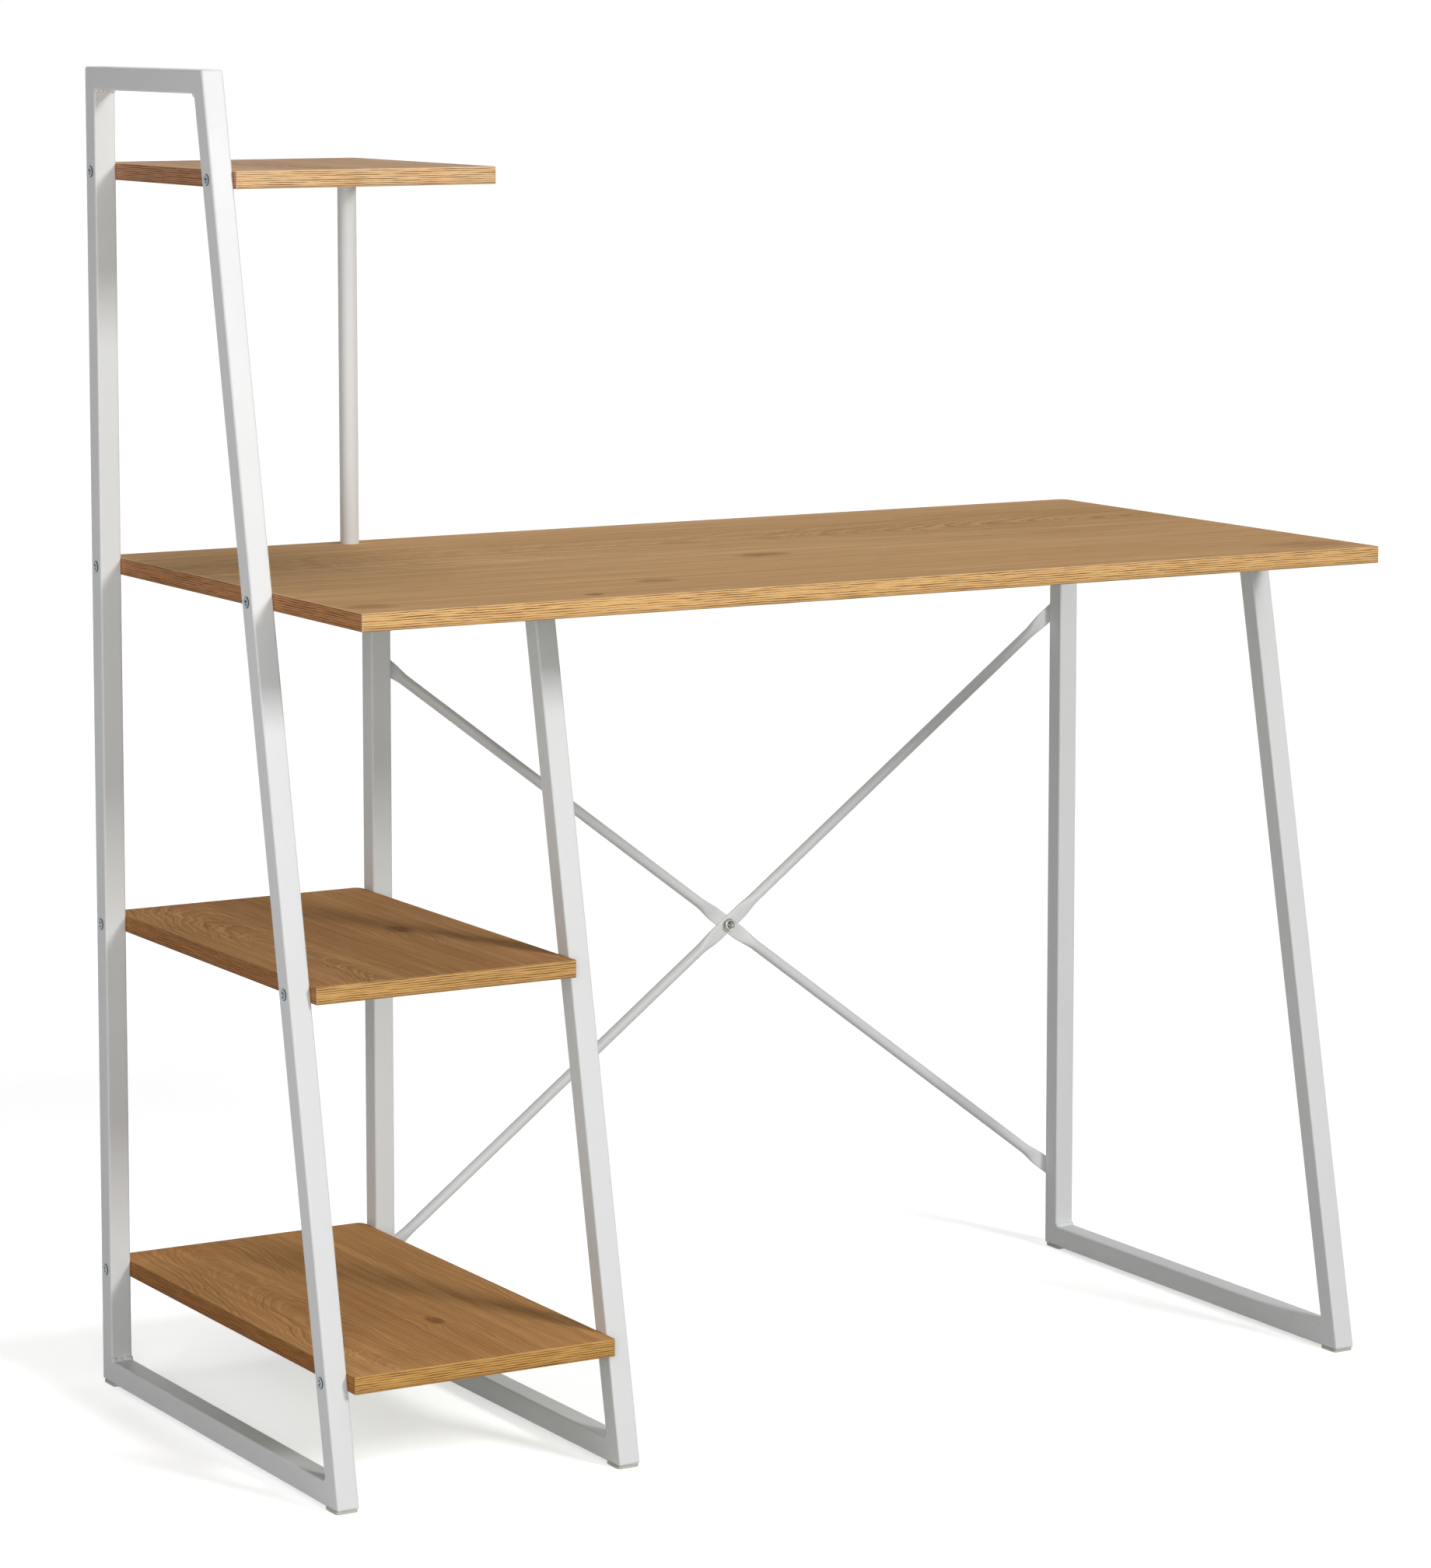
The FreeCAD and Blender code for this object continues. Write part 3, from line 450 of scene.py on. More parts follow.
# %% Knot and oak groups
SWAY, DRIFT, RIPPLE, KNOT_PUSH = 22 * MM, 9 * MM, 1 * MM, 10 * MM
OAK_NOISES = {
    # name: (scale along, across and through the grain per metre), detail, roughness, place of the pattern
    "sway": ((3.0, 3.0, 1.0), 2.0, 0.5, ORIGIN),
    "drift": ((9.0, 11.0, 1.0), 2.0, 0.5, (5.3, 1.9, 0)),
    "ripple": ((26.0, 150.0, 1.0), 2.0, 0.55, ORIGIN),
    "patches": ((5.0, 16.0, 2.0), 2.0, 0.5, (3.1, 1.7, 0)),
    "planks": ((0.6, 8.0, 2.0), 1.5, 0.5, (7.7, 2.9, 0)),
    "streaks": ((3.5, 130.0, 20.0), 3.0, 0.6, (1.3, 0.8, 0)),
    "bands": ((1.6, 70.0, 8.0), 2.0, 0.6, (4.1, 6.3, 0)),
    "fibres": ((26.0, 1100.0, 60.0), 3.0, 0.6, ORIGIN),
    "pores": ((75.0, 1900.0, 100.0), 1.0, 0.5, (0.4, 0.9, 0)),
}


def knot_group():
    inputs = {"Vector": ORIGIN, "Centre": ORIGIN, "Length": 0.03, "Width": 0.008, "Darkness": 0.7}
    recipe, given = new_group("knot", inputs, {"Lift": "Float", "Heart": "Float"})
    place = given["Vector"]
    x, y, z = place.vector("SUBTRACT", given["Centre"]).split()
    along, across = x / given["Length"], y / given["Width"]
    square = along * along + across * across
    ragged = square + place.grain((90.0, 260.0, 1.0), 3.0, 0.6).span(*MOST_NOISE, -0.45, 0.45)
    lines = place.grain((22.0, 480.0, 1.0), 2.0, 0.6)
    heart = ragged.span(0.0, 1.5, 1.0, 0.0, smooth=True) * lines.span(0.34, 0.64, 0.35, 1.0)
    lift = (square * -0.22).math("EXPONENT")
    return close_group(recipe, {"Lift": lift, "Heart": heart * given["Darkness"]})


def oak_group():
    """Grain along X; the heart lies along Y = Heart Line, Depth below the face, and sinks by Taper."""
    inputs = {
        "Vector": ORIGIN, "Seed": 0.0, "Heart Line": 0.0, "Depth": 0.03, "Taper": 0.1, "Ring Width": 0.005,
        "Arch Centre": ORIGIN, "Arch Reach": (0.2, 0.08, 1), "Figure": 0.6, "Quiet": 0.3,
        "Lift": 0.0, "Heart": 0.0, "Pale": WHITE, "Deep": WHITE, "Ring": WHITE, "Knot": WHITE,
    }
    recipe, given = new_group("oak figure", inputs, FINISH_OUTPUTS)
    place, seed = given["Vector"], given["Seed"]
    where = place.vector("ADD", recipe.combine(seed, seed, seed))
    noise = {name: where.grain(*settings) for name, settings in OAK_NOISES.items()}
    # Distance from the heart: sideways to the heart line, which sways, and down to where the heart lies.
    x, y, z = place.split()
    across = y - given["Heart Line"] + noise["sway"].swing(SWAY)
    sunk = x * given["Taper"] + given["Depth"] + noise["drift"].swing(DRIFT)
    away = (across * across + sunk * sunk).math("SQRT")
    away = away + noise["ripple"].swing(RIPPLE) - given["Lift"] * KNOT_PUSH
    # Years counted outwards; no two years are equally wide or dark.
    year_line = recipe.combine(away, seed, 0.0)
    uneven = year_line.grain((75.0, 1.0, 1.0))
    weight = year_line.grain((130.0, 1.0, 1.0), 1.0, 0.5, (9.0, 4.0, 0))
    years = away / given["Ring Width"] + uneven
    saw, fine_saw = years.math("FRACT"), (years * 2.3).math("FRACT")
    late = saw.span(0.42, 0.88, smooth=True) * saw.span(0.9, 1.0, 1.0, 0.0)
    late = late * weight.span(0.35, 0.62, 0.25, 1.0)
    late = late.larger(fine_saw.span(0.5, 0.95, 0.0, 0.72))
    # The figure is strong round the arches and quieter elsewhere, with worn patches.
    off = place.vector("SUBTRACT", given["Arch Centre"]).vector("DIVIDE", given["Arch Reach"])
    far = off.vector("MULTIPLY", (1, 1, 0)).vector("LENGTH")
    near = far.span(0.55, 1.35, 1.0, 0.0, smooth=True)
    strength = near.mix(given["Quiet"], given["Figure"], "FLOAT")
    ring = late * (strength * noise["patches"].span(0.35, 0.65, 0.5, 1.0))
    # Long streaks of slightly different tone lie side by side in the print, with fibres and pores over them.
    pits = noise["pores"].span(0.60, 0.72) * ring.span(0.0, 0.5, 0.25, 0.75)
    tone = noise["planks"].span(*MOST_NOISE, 0.0, 0.7) + noise["streaks"].span(*MOST_NOISE, -0.2, 0.8)
    color = tone.span(0.0, 1.0).mix(given["Pale"], given["Deep"])
    bands, streaks = noise["bands"].span(0.35, 0.7, 0.0, 0.26), noise["streaks"].span(0.42, 0.68, 0.0, 0.24)
    fibres = noise["fibres"].span(0.35, 0.72, 0.0, 0.40)
    for share in (bands, streaks, fibres, ring, pits * 0.45):
        color = share.mix(color, given["Ring"])
    return close_group(recipe, {
        "Color": given["Heart"].mix(color, given["Knot"]),
        "Roughness": noise["fibres"].span(0.3, 0.8, 0.60, 0.72) + pits * 0.12,
        "Height": noise["fibres"].span(0.3, 0.8, 0.0, 0.4) - pits,
    })


KNOT = knot_group()
OAK = oak_group()
print(f"made the {KNOT.name} and {OAK.name} groups")

# %% [markdown]
# Each board has its own print. The desktop's grain runs along its length and is quiet, with small arches at
# the right rear; the shelves' grain runs from front to rear, with arches along the left. The knots are put
# where the real boards have theirs. The underside has a backing sheet: a paler, greyer print of the same
# figure. Laminate shines little: seen at a low angle, more gloss would hide the print behind a white veil.

# %% Laminate materials
FACE_COLORS = {
    "Pale": (0.740, 0.445, 0.208), "Deep": (0.610, 0.348, 0.148),
    "Ring": (0.300, 0.145, 0.052), "Knot": (0.165, 0.068, 0.024),
}
BACK_COLORS = {
    "Pale": (0.45, 0.46, 0.27), "Deep": (0.385, 0.385, 0.22),
    "Ring": (0.235, 0.22, 0.12), "Knot": (0.15, 0.13, 0.07),
}
LAMINATE_GLOSS = 0.03
LAMINATE_RELIEF = (0.08 * MM, 0.35)
BOARD_PRINTS = {
    # a knot is (centre x, y, half length, half width, darkness)
    "desktop": {
        "turn": 0.0, "tint": (1.13, 1.20, 1.31),
        "figure": {"Seed": 2.0, "Heart Line": 0.085, "Depth": 0.110, "Taper": -0.20, "Ring Width": 0.0085,
                   "Arch Centre": (0.38, 0.085, 0), "Arch Reach": (0.24, 0.085, 1),
                   "Figure": 1.0, "Quiet": 0.38},
        "knots": ((0.004, -0.033, 0.028, 0.014, 0.70), (-0.177, -0.165, 0.020, 0.012, 0.60),
                  (-0.270, -0.227, 0.010, 0.007, 0.95), (-0.468, -0.209, 0.022, 0.020, 0.55),
                  (0.470, -0.207, 0.045, 0.028, 0.50)),
    },
    "top_shelf": {
        "turn": QUARTER, "tint": (1.06, 1.22, 1.72),
        "figure": {"Seed": 11.3, "Heart Line": 0.400, "Depth": 0.040, "Taper": 0.10, "Ring Width": 0.0050,
                   "Arch Centre": (0.10, 0.400, 0), "Arch Reach": (0.20, 0.070, 1),
                   "Figure": 0.6, "Quiet": 0.4},
        "knots": (),
    },
    "middle_shelf": {
        "turn": QUARTER, "tint": (1.23, 1.12, 1.08),
        "figure": {"Seed": 5.4, "Heart Line": 0.437, "Depth": 0.030, "Taper": 0.11, "Ring Width": 0.0044,
                   "Arch Centre": (0.04, 0.437, 0), "Arch Reach": (0.26, 0.070, 1),
                   "Figure": 0.95, "Quiet": 0.90},
        "knots": ((-0.318, 0.043, 0.020, 0.010, 1.0),),
    },
    "bottom_shelf": {
        "turn": QUARTER, "tint": (1.27, 1.17, 1.06),
        "figure": {"Seed": 8.6, "Heart Line": 0.440, "Depth": 0.036, "Taper": 0.10, "Ring Width": 0.0040,
                   "Arch Centre": (0.02, 0.440, 0), "Arch Reach": (0.30, 0.060, 1),
                   "Figure": 0.88, "Quiet": 0.85},
        "knots": ((-0.358, -0.097, 0.014, 0.008, 0.95),),
    },
}


def tinted(color, tint):
    return (*(channel * share for channel, share in zip(color, tint)), 1)


def laminate_material(name, layout, colors):
    material, recipe, place = new_material(name)
    turned = place.stretch((1, 1, 1), turn=-layout["turn"])
    lift, heart = 0.0, 0.0
    for x, y, length, width, darkness in layout["knots"]:
        centre = Matrix.Rotation(-layout["turn"], 3, "Z") @ Vector((x, y, 0))
        feeds = {"Vector": turned, "Centre": centre, "Length": length, "Width": width, "Darkness": darkness}
        knot = use_group(recipe, KNOT, feeds)
        lift, heart = knot["Lift"] + lift, knot["Heart"].larger(heart)
    feeds = {"Vector": turned, "Lift": lift, "Heart": heart, **layout["figure"]}
    feeds |= {label: tinted(color, layout["tint"]) for label, color in colors.items()}
    surface(recipe, use_group(recipe, OAK, feeds), LAMINATE_RELIEF, {GLOSS: LAMINATE_GLOSS})
    return material


laminates, backings = {}, {}
for made, kind, colors in ((laminates, "laminate", FACE_COLORS), (backings, "backing", BACK_COLORS)):
    for board, layout in BOARD_PRINTS.items():
        made[board] = laminate_material(f"{board} {kind}", layout, colors)
print(f"made {len(laminates)} laminates and {len(backings)} backings")

# %% [markdown]
# ## Edge tape
# A strip of printed tape is glued round each board. Its print is a stack of thin dark streaks that run along
# the edge, about seven in the tape's height. Object X plus Y grows along every side of a board, so one
# pattern serves all four edges. Height is bent by noise and counted in rows; each row is thick here and
# broken there. The top shelf's rows are straight and pale, the lower shelves' are deeper in colour. The ends
# have a darker strip. The tape's lowest few millimetres darken towards the streak colour as painted shade.
# The scraped rim and the middle of each rounded corner are coloured pale: a painted highlight, on the rim
# partly also the scraped tape's own paler colour.

# %% Tape materials
TAPE_KINDS = {
    # finish: (ground, streak) of the long sides, the ends, and the pale rim and corners with their painted
    # highlight
    "tape": ((0.86, 0.54, 0.238), (0.14, 0.060, 0.018)),
    "end tape": ((0.57, 0.280, 0.122), (0.15, 0.060, 0.022)),
    "tape rim": ((0.74, 0.52, 0.30), (0.55, 0.34, 0.17)),
}
BOARD_TAPES = {
    # board: (row height, waver, tint of the colours)
    "desktop": (1.95 * MM, 0.60 * MM, (1.03, 1.0, 0.95)),
    "top_shelf": (1.75 * MM, 0.28 * MM, (1.10, 1.15, 1.36)),
    "middle_shelf": (1.95 * MM, 0.55 * MM, (0.86, 0.80, 0.66)),
    "bottom_shelf": (1.95 * MM, 0.55 * MM, (0.81, 0.72, 0.51)),
}
# the tape's lowest few millimetres are painted darker, as shade
FOOT_SHADE = (0.5 * MM, 4.0 * MM)
TAPE_GLOSS = 0.05
TAPE_RELIEF = (0.06 * MM, 0.4)


def tape_group():
    inputs = {
        "Vector": ORIGIN, "Row Height": 0.002, "Waver": 0.0008, "Foot": 0.0, "Ground": WHITE, "Streak": WHITE,
    }
    recipe, given = new_group("tape streaks", inputs, FINISH_OUTPUTS)
    x, y, z = given["Vector"].split()
    along = x + y
    flat = recipe.combine(along, z, 0.0)
    slow = flat.grain((15.0, 70.0, 1.0))
    quick = flat.grain((110.0, 240.0, 1.0), 2.0, 0.6, (0.7, 0.2, 0))
    broad = flat.grain((5.0, 40.0, 1.0), place=(0.8, 0.2, 0))
    height = z + (slow.swing(1.0) + quick.swing(0.45)) * given["Waver"]

    def rows(share, length, seed):
        """Dark ridges of one row height, each broken in its own places."""
        count = height / (given["Row Height"] * share)
        ridge = count.math("PINGPONG", 0.5) * 2.0
        line = recipe.combine(along, count.math("FLOOR") * 0.37, 0.0)
        full = line.grain((length, 40.0, 1.0), place=(seed, seed, 0)).span(0.28, 0.62, 0.0, 0.46)
        return (ridge + full).span(0.94, 1.14, smooth=True)

    streak_and_foot_shade = rows(1.0, 30.0, 0.0).larger(rows(0.43, 70.0, 3.3) * 0.5)
    streak_and_foot_shade = streak_and_foot_shade * broad.span(0.25, 0.7, 0.7, 1.0)
    # painted shade: the tape darkens towards its foot
    streak_and_foot_shade = streak_and_foot_shade.larger((z - given["Foot"]).span(*FOOT_SHADE, 0.40, 0.0))
    return close_group(recipe, {
        "Color": streak_and_foot_shade.mix(given["Ground"], given["Streak"]),
        "Roughness": streak_and_foot_shade.span(0.0, 1.0, 0.58, 0.70),
        "Height": streak_and_foot_shade.span(0.0, 1.0, 1.0, 0.0),
    })


def tape_set(board):
    """The finishes of a board's tape, in the order of the kinds."""
    row_height, waver, tint = BOARD_TAPES[board]
    layout = {"Row Height": row_height, "Waver": waver, "Foot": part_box(board)[0][2]}
    finishes = []
    for kind, (ground, streak_and_foot_shade) in TAPE_KINDS.items():
        feeds = {"Ground": tinted(ground, tint), "Streak": tinted(streak_and_foot_shade, tint), **layout}
        finishes.append(group_material(f"{board} {kind}", TAPE, feeds, TAPE_RELIEF, TAPE_GLOSS))
    return finishes


TAPE = tape_group()
tapes = {board: tape_set(board) for board in BOARD_PRINTS}
print(f"made {sum(len(finishes) for finishes in tapes.values())} tape finishes")

# %% [markdown]
# ## Boards with eased edges
# A laminated board is a slab with a strip glued round it, and the strip's sharp corners are scraped off so
# that they catch a thin light. Each board is made again from its CAD box: a slab, and a ring whose upper and
# lower corners are rounded. The ring is a stack of outlines, each drawn in a little from the last.

# %% Board slabs and tape rings
TAPE_THICKNESS = 0.8 * MM
EASE_RADIUS = 0.6 * MM
# corner radii at the front and the rear
BOARD_CORNERS = (2 * MM, 8 * MM)
CORNER_STEPS = 10
EASE_STEPS = 4
# corner faces leaning this far from both axes are coloured pale, as a painted highlight
CORNER_LIGHT = 0.45
RIM_SHARE = 0.75
TAPE_CREASE = 40
FACE_UP, FACE_DOWN = 0, 1
SIDE_TAPE, END_TAPE, RIM_TAPE = range(3)


def outlines(low, high, radii, steps, levels):
    """Loops round a plate with rounded front and rear corners, one for each (inset, height) of the levels."""
    front, rear = radii
    corners = (
        (high[0] - front, low[1] + front, front), (high[0] - rear, high[1] - rear, rear),
        (low[0] + rear, high[1] - rear, rear), (low[0] + front, low[1] + front, front),
    )
    loops = []
    for inset, z in levels:
        loop = []
        for quarter, (x, y, radius) in enumerate(corners, start=-1):
            for step in range(steps + 1):
                angle = (quarter + step / steps) * QUARTER
                reach = radius - inset
                loop.append((x + reach * math.cos(angle), y + reach * math.sin(angle), z))
        loops.append(loop)
    return loops


def eased(radius, steps, low, high):
    """The (inset, height) levels of an upright side whose lower and upper edges are rounded."""
    angles = [step / steps * QUARTER for step in range(steps + 1)]
    rise = [(radius * (1 - math.sin(angle)), radius * (1 - math.cos(angle))) for angle in angles]
    return [(inset, low + z) for inset, z in rise] + [(inset, high - z) for inset, z in reversed(rise)]


def shell(loops, ring=False):
    """A mesh skin over a stack of point loops; a ring joins its ends, and anything else has two caps."""
    mesh = bmesh.new()
    rows = [[mesh.verts.new(point) for point in loop] for loop in loops]
    for lower, upper in zip(rows, rows[1:] + rows[:1] if ring else rows[1:]):
        for index in range(len(lower)):
            after = (index + 1) % len(lower)
            mesh.faces.new((lower[index], lower[after], upper[after], upper[index]))
    if not ring:
        mesh.faces.new(rows[0])
        mesh.faces.new(rows[-1])
    return mesh


def raw_object(mesh, name):
    """An object that isn't in the scene yet, for use as a piece, a cutter or a copy's source."""
    bmesh.ops.recalc_face_normals(mesh, faces=mesh.faces)
    data = bpy.data.meshes.new(name)
    mesh.to_mesh(data)
    mesh.free()
    return bpy.data.objects.new(name, data)


def shown(mesh, name, materials):
    """A piece at the origin, in the scene, with its finishes."""
    piece = raw_object(mesh, name)
    for material in materials:
        piece.data.materials.append(material)
    scene.collection.objects.link(piece)
    return piece


def smooth(piece, angle):
    """Shades a piece smooth, apart from edges that bend by more than an angle in degrees."""
    piece.data.shade_smooth()
    piece.data.set_sharp_from_angle(angle=math.radians(angle))
    return piece


def slab(board):
    low, high = (Vector(corner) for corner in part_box(f"{board}_edge_band"))
    levels = [(TAPE_THICKNESS, low.z), (TAPE_THICKNESS, high.z)]
    mesh = shell(outlines(low, high, BOARD_CORNERS, CORNER_STEPS, levels))
    for face in mesh.faces:
        under = face.calc_center_median().z < low.z + TAPE_THICKNESS
        face.material_index = FACE_DOWN if under else FACE_UP
    piece = shown(mesh, f"{board}_slab", [laminates[board], backings[board]])
    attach(piece, BODY)
    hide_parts(board)
    return piece


def tape_ring(board):
    low, high = (Vector(corner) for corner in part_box(f"{board}_edge_band"))
    foot, top = (TAPE_THICKNESS, low.z), (TAPE_THICKNESS, high.z)
    levels = [foot, *eased(EASE_RADIUS, EASE_STEPS, low.z, high.z), top]
    mesh = shell(outlines(low, high, BOARD_CORNERS, CORNER_STEPS, levels), ring=True)
    rim = high.z - EASE_RADIUS * RIM_SHARE
    for face in mesh.faces:
        face.normal_update()
        corner = min(abs(face.normal.x), abs(face.normal.y))
        face.material_index = SIDE_TAPE
        # the scraped rim and the middle of each rounded corner take the pale rim finish: a painted highlight,
        # on the rim partly also the scraped tape's own colour
        if face.calc_center_median().z > rim or corner > CORNER_LIGHT:
            face.material_index = RIM_TAPE
        elif abs(face.normal.x) > math.cos(QUARTER / 2):
            face.material_index = END_TAPE
    piece = smooth(shown(mesh, f"{board}_tape", tapes[board]), TAPE_CREASE)
    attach(piece, BODY)
    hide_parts(f"{board}_edge_band")
    return piece


for board in BOARD_PRINTS:
    made = slab(board), tape_ring(board)
    print("made", ", ".join(piece.name for piece in made))

# %% [markdown]
# ## Screws, bolt and nut
# Every screw is the same form: a low rounded head with a cross recess and a threaded shank. It is turned from
# a profile, as on a lathe, and the recess is cut with a tapered cross. Geometry Nodes then puts a copy on
# each point of a small mesh; each point says which way its head looks, and a seeded random turn leaves the
# recesses at different angles, as a screwdriver does.

# %% Turned screw
SCREW_RADIUS = 3 * MM
SCREW_STEPS = 40
THREAD_DEPTH = 0.32 * MM
THREAD_PITCH = 1.0 * MM
THREAD_LEAD = 0.6 * MM
THREAD_END = 1.2 * MM
PLAIN_LENGTH = 2 * MM
HEAD_RADIUS = 5 * MM
HEAD_HEIGHT = 1.2 * MM
HEAD_RIM = (0.15 * MM, 0.12 * MM)
HEAD_STEPS = 8
DOME_START = 0.35
DOME_POWER = 0.75
RECESS_REACH = 3.0 * MM
RECESS_DEPTH = 2.4 * MM
RECESS_ARM = 0.9 * MM
RECESS_LEVELS = (
    # (share of the reach, share of the arm's width, height)
    (0.45, 0.7525, HEAD_HEIGHT - RECESS_DEPTH), (1.0, 1.0, HEAD_HEIGHT), (1.15, 1.0675, HEAD_HEIGHT + 1 * MM),
)
# how dark a screw is painted: shade in its thread, a little dirt on the rest of the shank, and a ring of
# shade under the head's rim
THREAD_SHADE, SHANK_GRIME = 0.75, 0.1
RIM_SHADE_START, RIM_SHADE_RUN = 0.88, 0.09
SCREW_CREASE = 32


def lathe(profile, steps):
    """Turns a profile of radius and height about Z; the profile's ends lie on the axis."""
    mesh = bmesh.new()
    angles = [2 * math.pi * step / steps for step in range(steps)]
    rings = []
    for radius, height in profile:
        turns = angles if radius else [0.0]
        rings.append([mesh.verts.new((radius * math.cos(a), radius * math.sin(a), height)) for a in turns])
    for lower, upper in zip(rings, rings[1:]):
        for index in range(steps):
            after = (index + 1) % steps
            ring = [lower[index % len(lower)], lower[after % len(lower)]]
            ring += [upper[after % len(upper)], upper[index % len(upper)]]
            mesh.faces.new(list(dict.fromkeys(ring)))
    return mesh


def plain_mesh(owner, name):
    """The evaluated result of an object's modifiers as a mesh of its own."""
    scene.collection.objects.link(owner)
    graph = bpy.context.evaluated_depsgraph_get()
    data = bpy.data.meshes.new_from_object(owner.evaluated_get(graph), depsgraph=graph)
    data.name = name
    scene.collection.objects.unlink(owner)
    return data


def cut(body, cutter, operation="DIFFERENCE"):
    """Combines two raw objects into one raw object."""
    scene.collection.objects.link(cutter)
    step = body.modifiers.new("cut", "BOOLEAN")
    step.operation = operation
    step.solver = "EXACT"
    step.object = cutter
    data = plain_mesh(body, body.name)
    scene.collection.objects.unlink(cutter)
    return bpy.data.objects.new(body.name, data)


def thread_profile(length):
    """Ridges of a thread from the tip upwards, below the seat at height zero."""
    core = SCREW_RADIUS - THREAD_DEPTH
    profile = [(0, -length), (core - THREAD_DEPTH, -length)]
    for turn in range(int((length - PLAIN_LENGTH) / THREAD_PITCH)):
        bottom = -length + THREAD_LEAD + turn * THREAD_PITCH
        profile += [(core, bottom), (SCREW_RADIUS, bottom + THREAD_PITCH / 2)]
    return profile + [(core, -THREAD_END), (core, 0)]


def head_profile():
    """A low rounded head: a short rim, then a flattened dome."""
    profile = [(HEAD_RADIUS - HEAD_RIM[0], 0), (HEAD_RADIUS, HEAD_RIM[1])]
    rim = DOME_START * HEAD_HEIGHT
    for step in range(HEAD_STEPS):
        angle = step / HEAD_STEPS * QUARTER
        height = rim + (HEAD_HEIGHT - rim) * math.sin(angle)
        profile.append((HEAD_RADIUS * math.cos(angle) ** DOME_POWER, height))
    return profile + [(0, HEAD_HEIGHT)]


def cross_cutter():
    """A cross that narrows towards its foot, as a screwdriver's tip does."""
    loops = []
    for reach_share, arm_share, height in RECESS_LEVELS:
        reach, arm = RECESS_REACH * reach_share, RECESS_ARM * arm_share
        corner = [Vector(point) for point in ((reach, -arm), (reach, arm), (arm, arm))]
        turns = [Matrix.Rotation(quarter * QUARTER, 2) for quarter in range(4)]
        loops.append([(*(turn @ point), height) for turn in turns for point in corner])
    return raw_object(shell(loops), "cross_cutter")


def paint_shade_and_dirt(piece, share):
    """Stores how much painted shade and dirt lie at each point, as a share of its radius and height."""
    grime = piece.data.attributes.new("grime", "FLOAT", "POINT")
    for index, vertex in enumerate(piece.data.vertices):
        grime.data[index].value = share(vertex.co.xy.length, vertex.co.z)
    return piece


def screw_shade_and_dirt(radius, z):
    """Painted shade in the thread and round the rim of the head, none on its dome."""
    if z > 0:
        return min(1.0, max(0.0, (radius / HEAD_RADIUS - RIM_SHADE_START) / RIM_SHADE_RUN))
    in_thread = 2 * THREAD_DEPTH < radius < SCREW_RADIUS - THREAD_DEPTH / 2
    return THREAD_SHADE if in_thread else SHANK_GRIME


def screw(name, length):
    profile = thread_profile(length) + head_profile()
    turned = paint_shade_and_dirt(raw_object(lathe(profile, SCREW_STEPS), name), screw_shade_and_dirt)
    # the cross recess is painted fully dark: painted shade, with some dirt
    return smooth(cut(turned, paint_shade_and_dirt(cross_cutter(), lambda radius, z: 1.0)), SCREW_CREASE)


EDGE_SCREW = screw("edge_screw", 34 * MM)
FACE_SCREW = screw("face_screw", 29 * MM)
BRACE_SCREW = screw("brace_screw", 13 * MM)
BRACE_BOLT = screw("brace_bolt_form", 14 * MM)
POST_SCREW = screw("post_screw_form", 30 * MM)
print(f"a screw has {len(EDGE_SCREW.data.polygons)} faces")

# %% [markdown]
# The copying tree takes a form, the finish and a seed. Its points carry an attribute called aim, the way the
# form's own Z looks once it is in place.

# %% Copies on points


def new_tree(name, inputs):
    """A geometry tree with a mesh going in and out, and more named inputs."""
    tree = bpy.data.node_groups.new(name, "GeometryNodeTree")
    for label, kind in {"Geometry": "Geometry", **inputs}.items():
        tree.interface.new_socket(label, in_out="INPUT", socket_type=f"NodeSocket{kind}")
    tree.interface.new_socket("Geometry", in_out="OUTPUT", socket_type="NodeSocketGeometry")
    recipe = Recipe(tree)
    return recipe, recipe.outputs("NodeGroupInput")


def close_tree(recipe, geometry, finish):
    """Ends a tree with a solid mesh in its finish."""
    solid = recipe.make("GeometryNodeRealizeInstances", {0: geometry})
    coloured = recipe.make("GeometryNodeSetMaterial", {"Geometry": solid, "Material": finish})
    return close_group(recipe, {0: coloured})


def copies_tree():
    inputs = {"Form": "Object", "Seed": "Int", "Turn": "Float", "Finish": "Material"}
    recipe, given = new_tree("copies on points", inputs)
    form = recipe.outputs("GeometryNodeObjectInfo", {"Object": given["Form"]}, transform_space="ORIGINAL")
    aim = recipe.make("GeometryNodeInputNamedAttribute", {"Name": "aim"}, data_type="FLOAT_VECTOR")
    facing = recipe.make("FunctionNodeAlignRotationToVector", {"Vector": aim}, axis="Z")
    feeds = {"Min": 0.0, "Max": given["Turn"], "Seed": given["Seed"]}
    angle = recipe.make("FunctionNodeRandomValue", feeds, data_type="FLOAT")
    spin = recipe.make("FunctionNodeAxisAngleToRotation", {"Axis": (0, 0, 1), "Angle": angle})
    turned = recipe.make("FunctionNodeRotateRotation", {0: facing, 1: spin}, rotation_space="LOCAL")
    feeds = {"Points": given["Geometry"], "Instance": form["Geometry"], "Rotation": turned}
    return close_tree(recipe, recipe.make("GeometryNodeInstanceOnPoints", feeds), given["Finish"])


def run_tree(owner, tree, settings, name):
    """Runs a geometry tree on a raw object and keeps the result as a plain mesh object."""
    step = owner.modifiers.new(tree.name, "NODES")
    step.node_group = tree
    sockets = {item.name: item.identifier for item in tree.interface.items_tree if item.in_out == "INPUT"}
    for label, value in settings.items():
        step[sockets[label]] = value
    data = plain_mesh(owner, name)
    bpy.data.objects.remove(owner)
    piece = bpy.data.objects.new(name, data)
    scene.collection.objects.link(piece)
    return piece


COPIES = copies_tree()


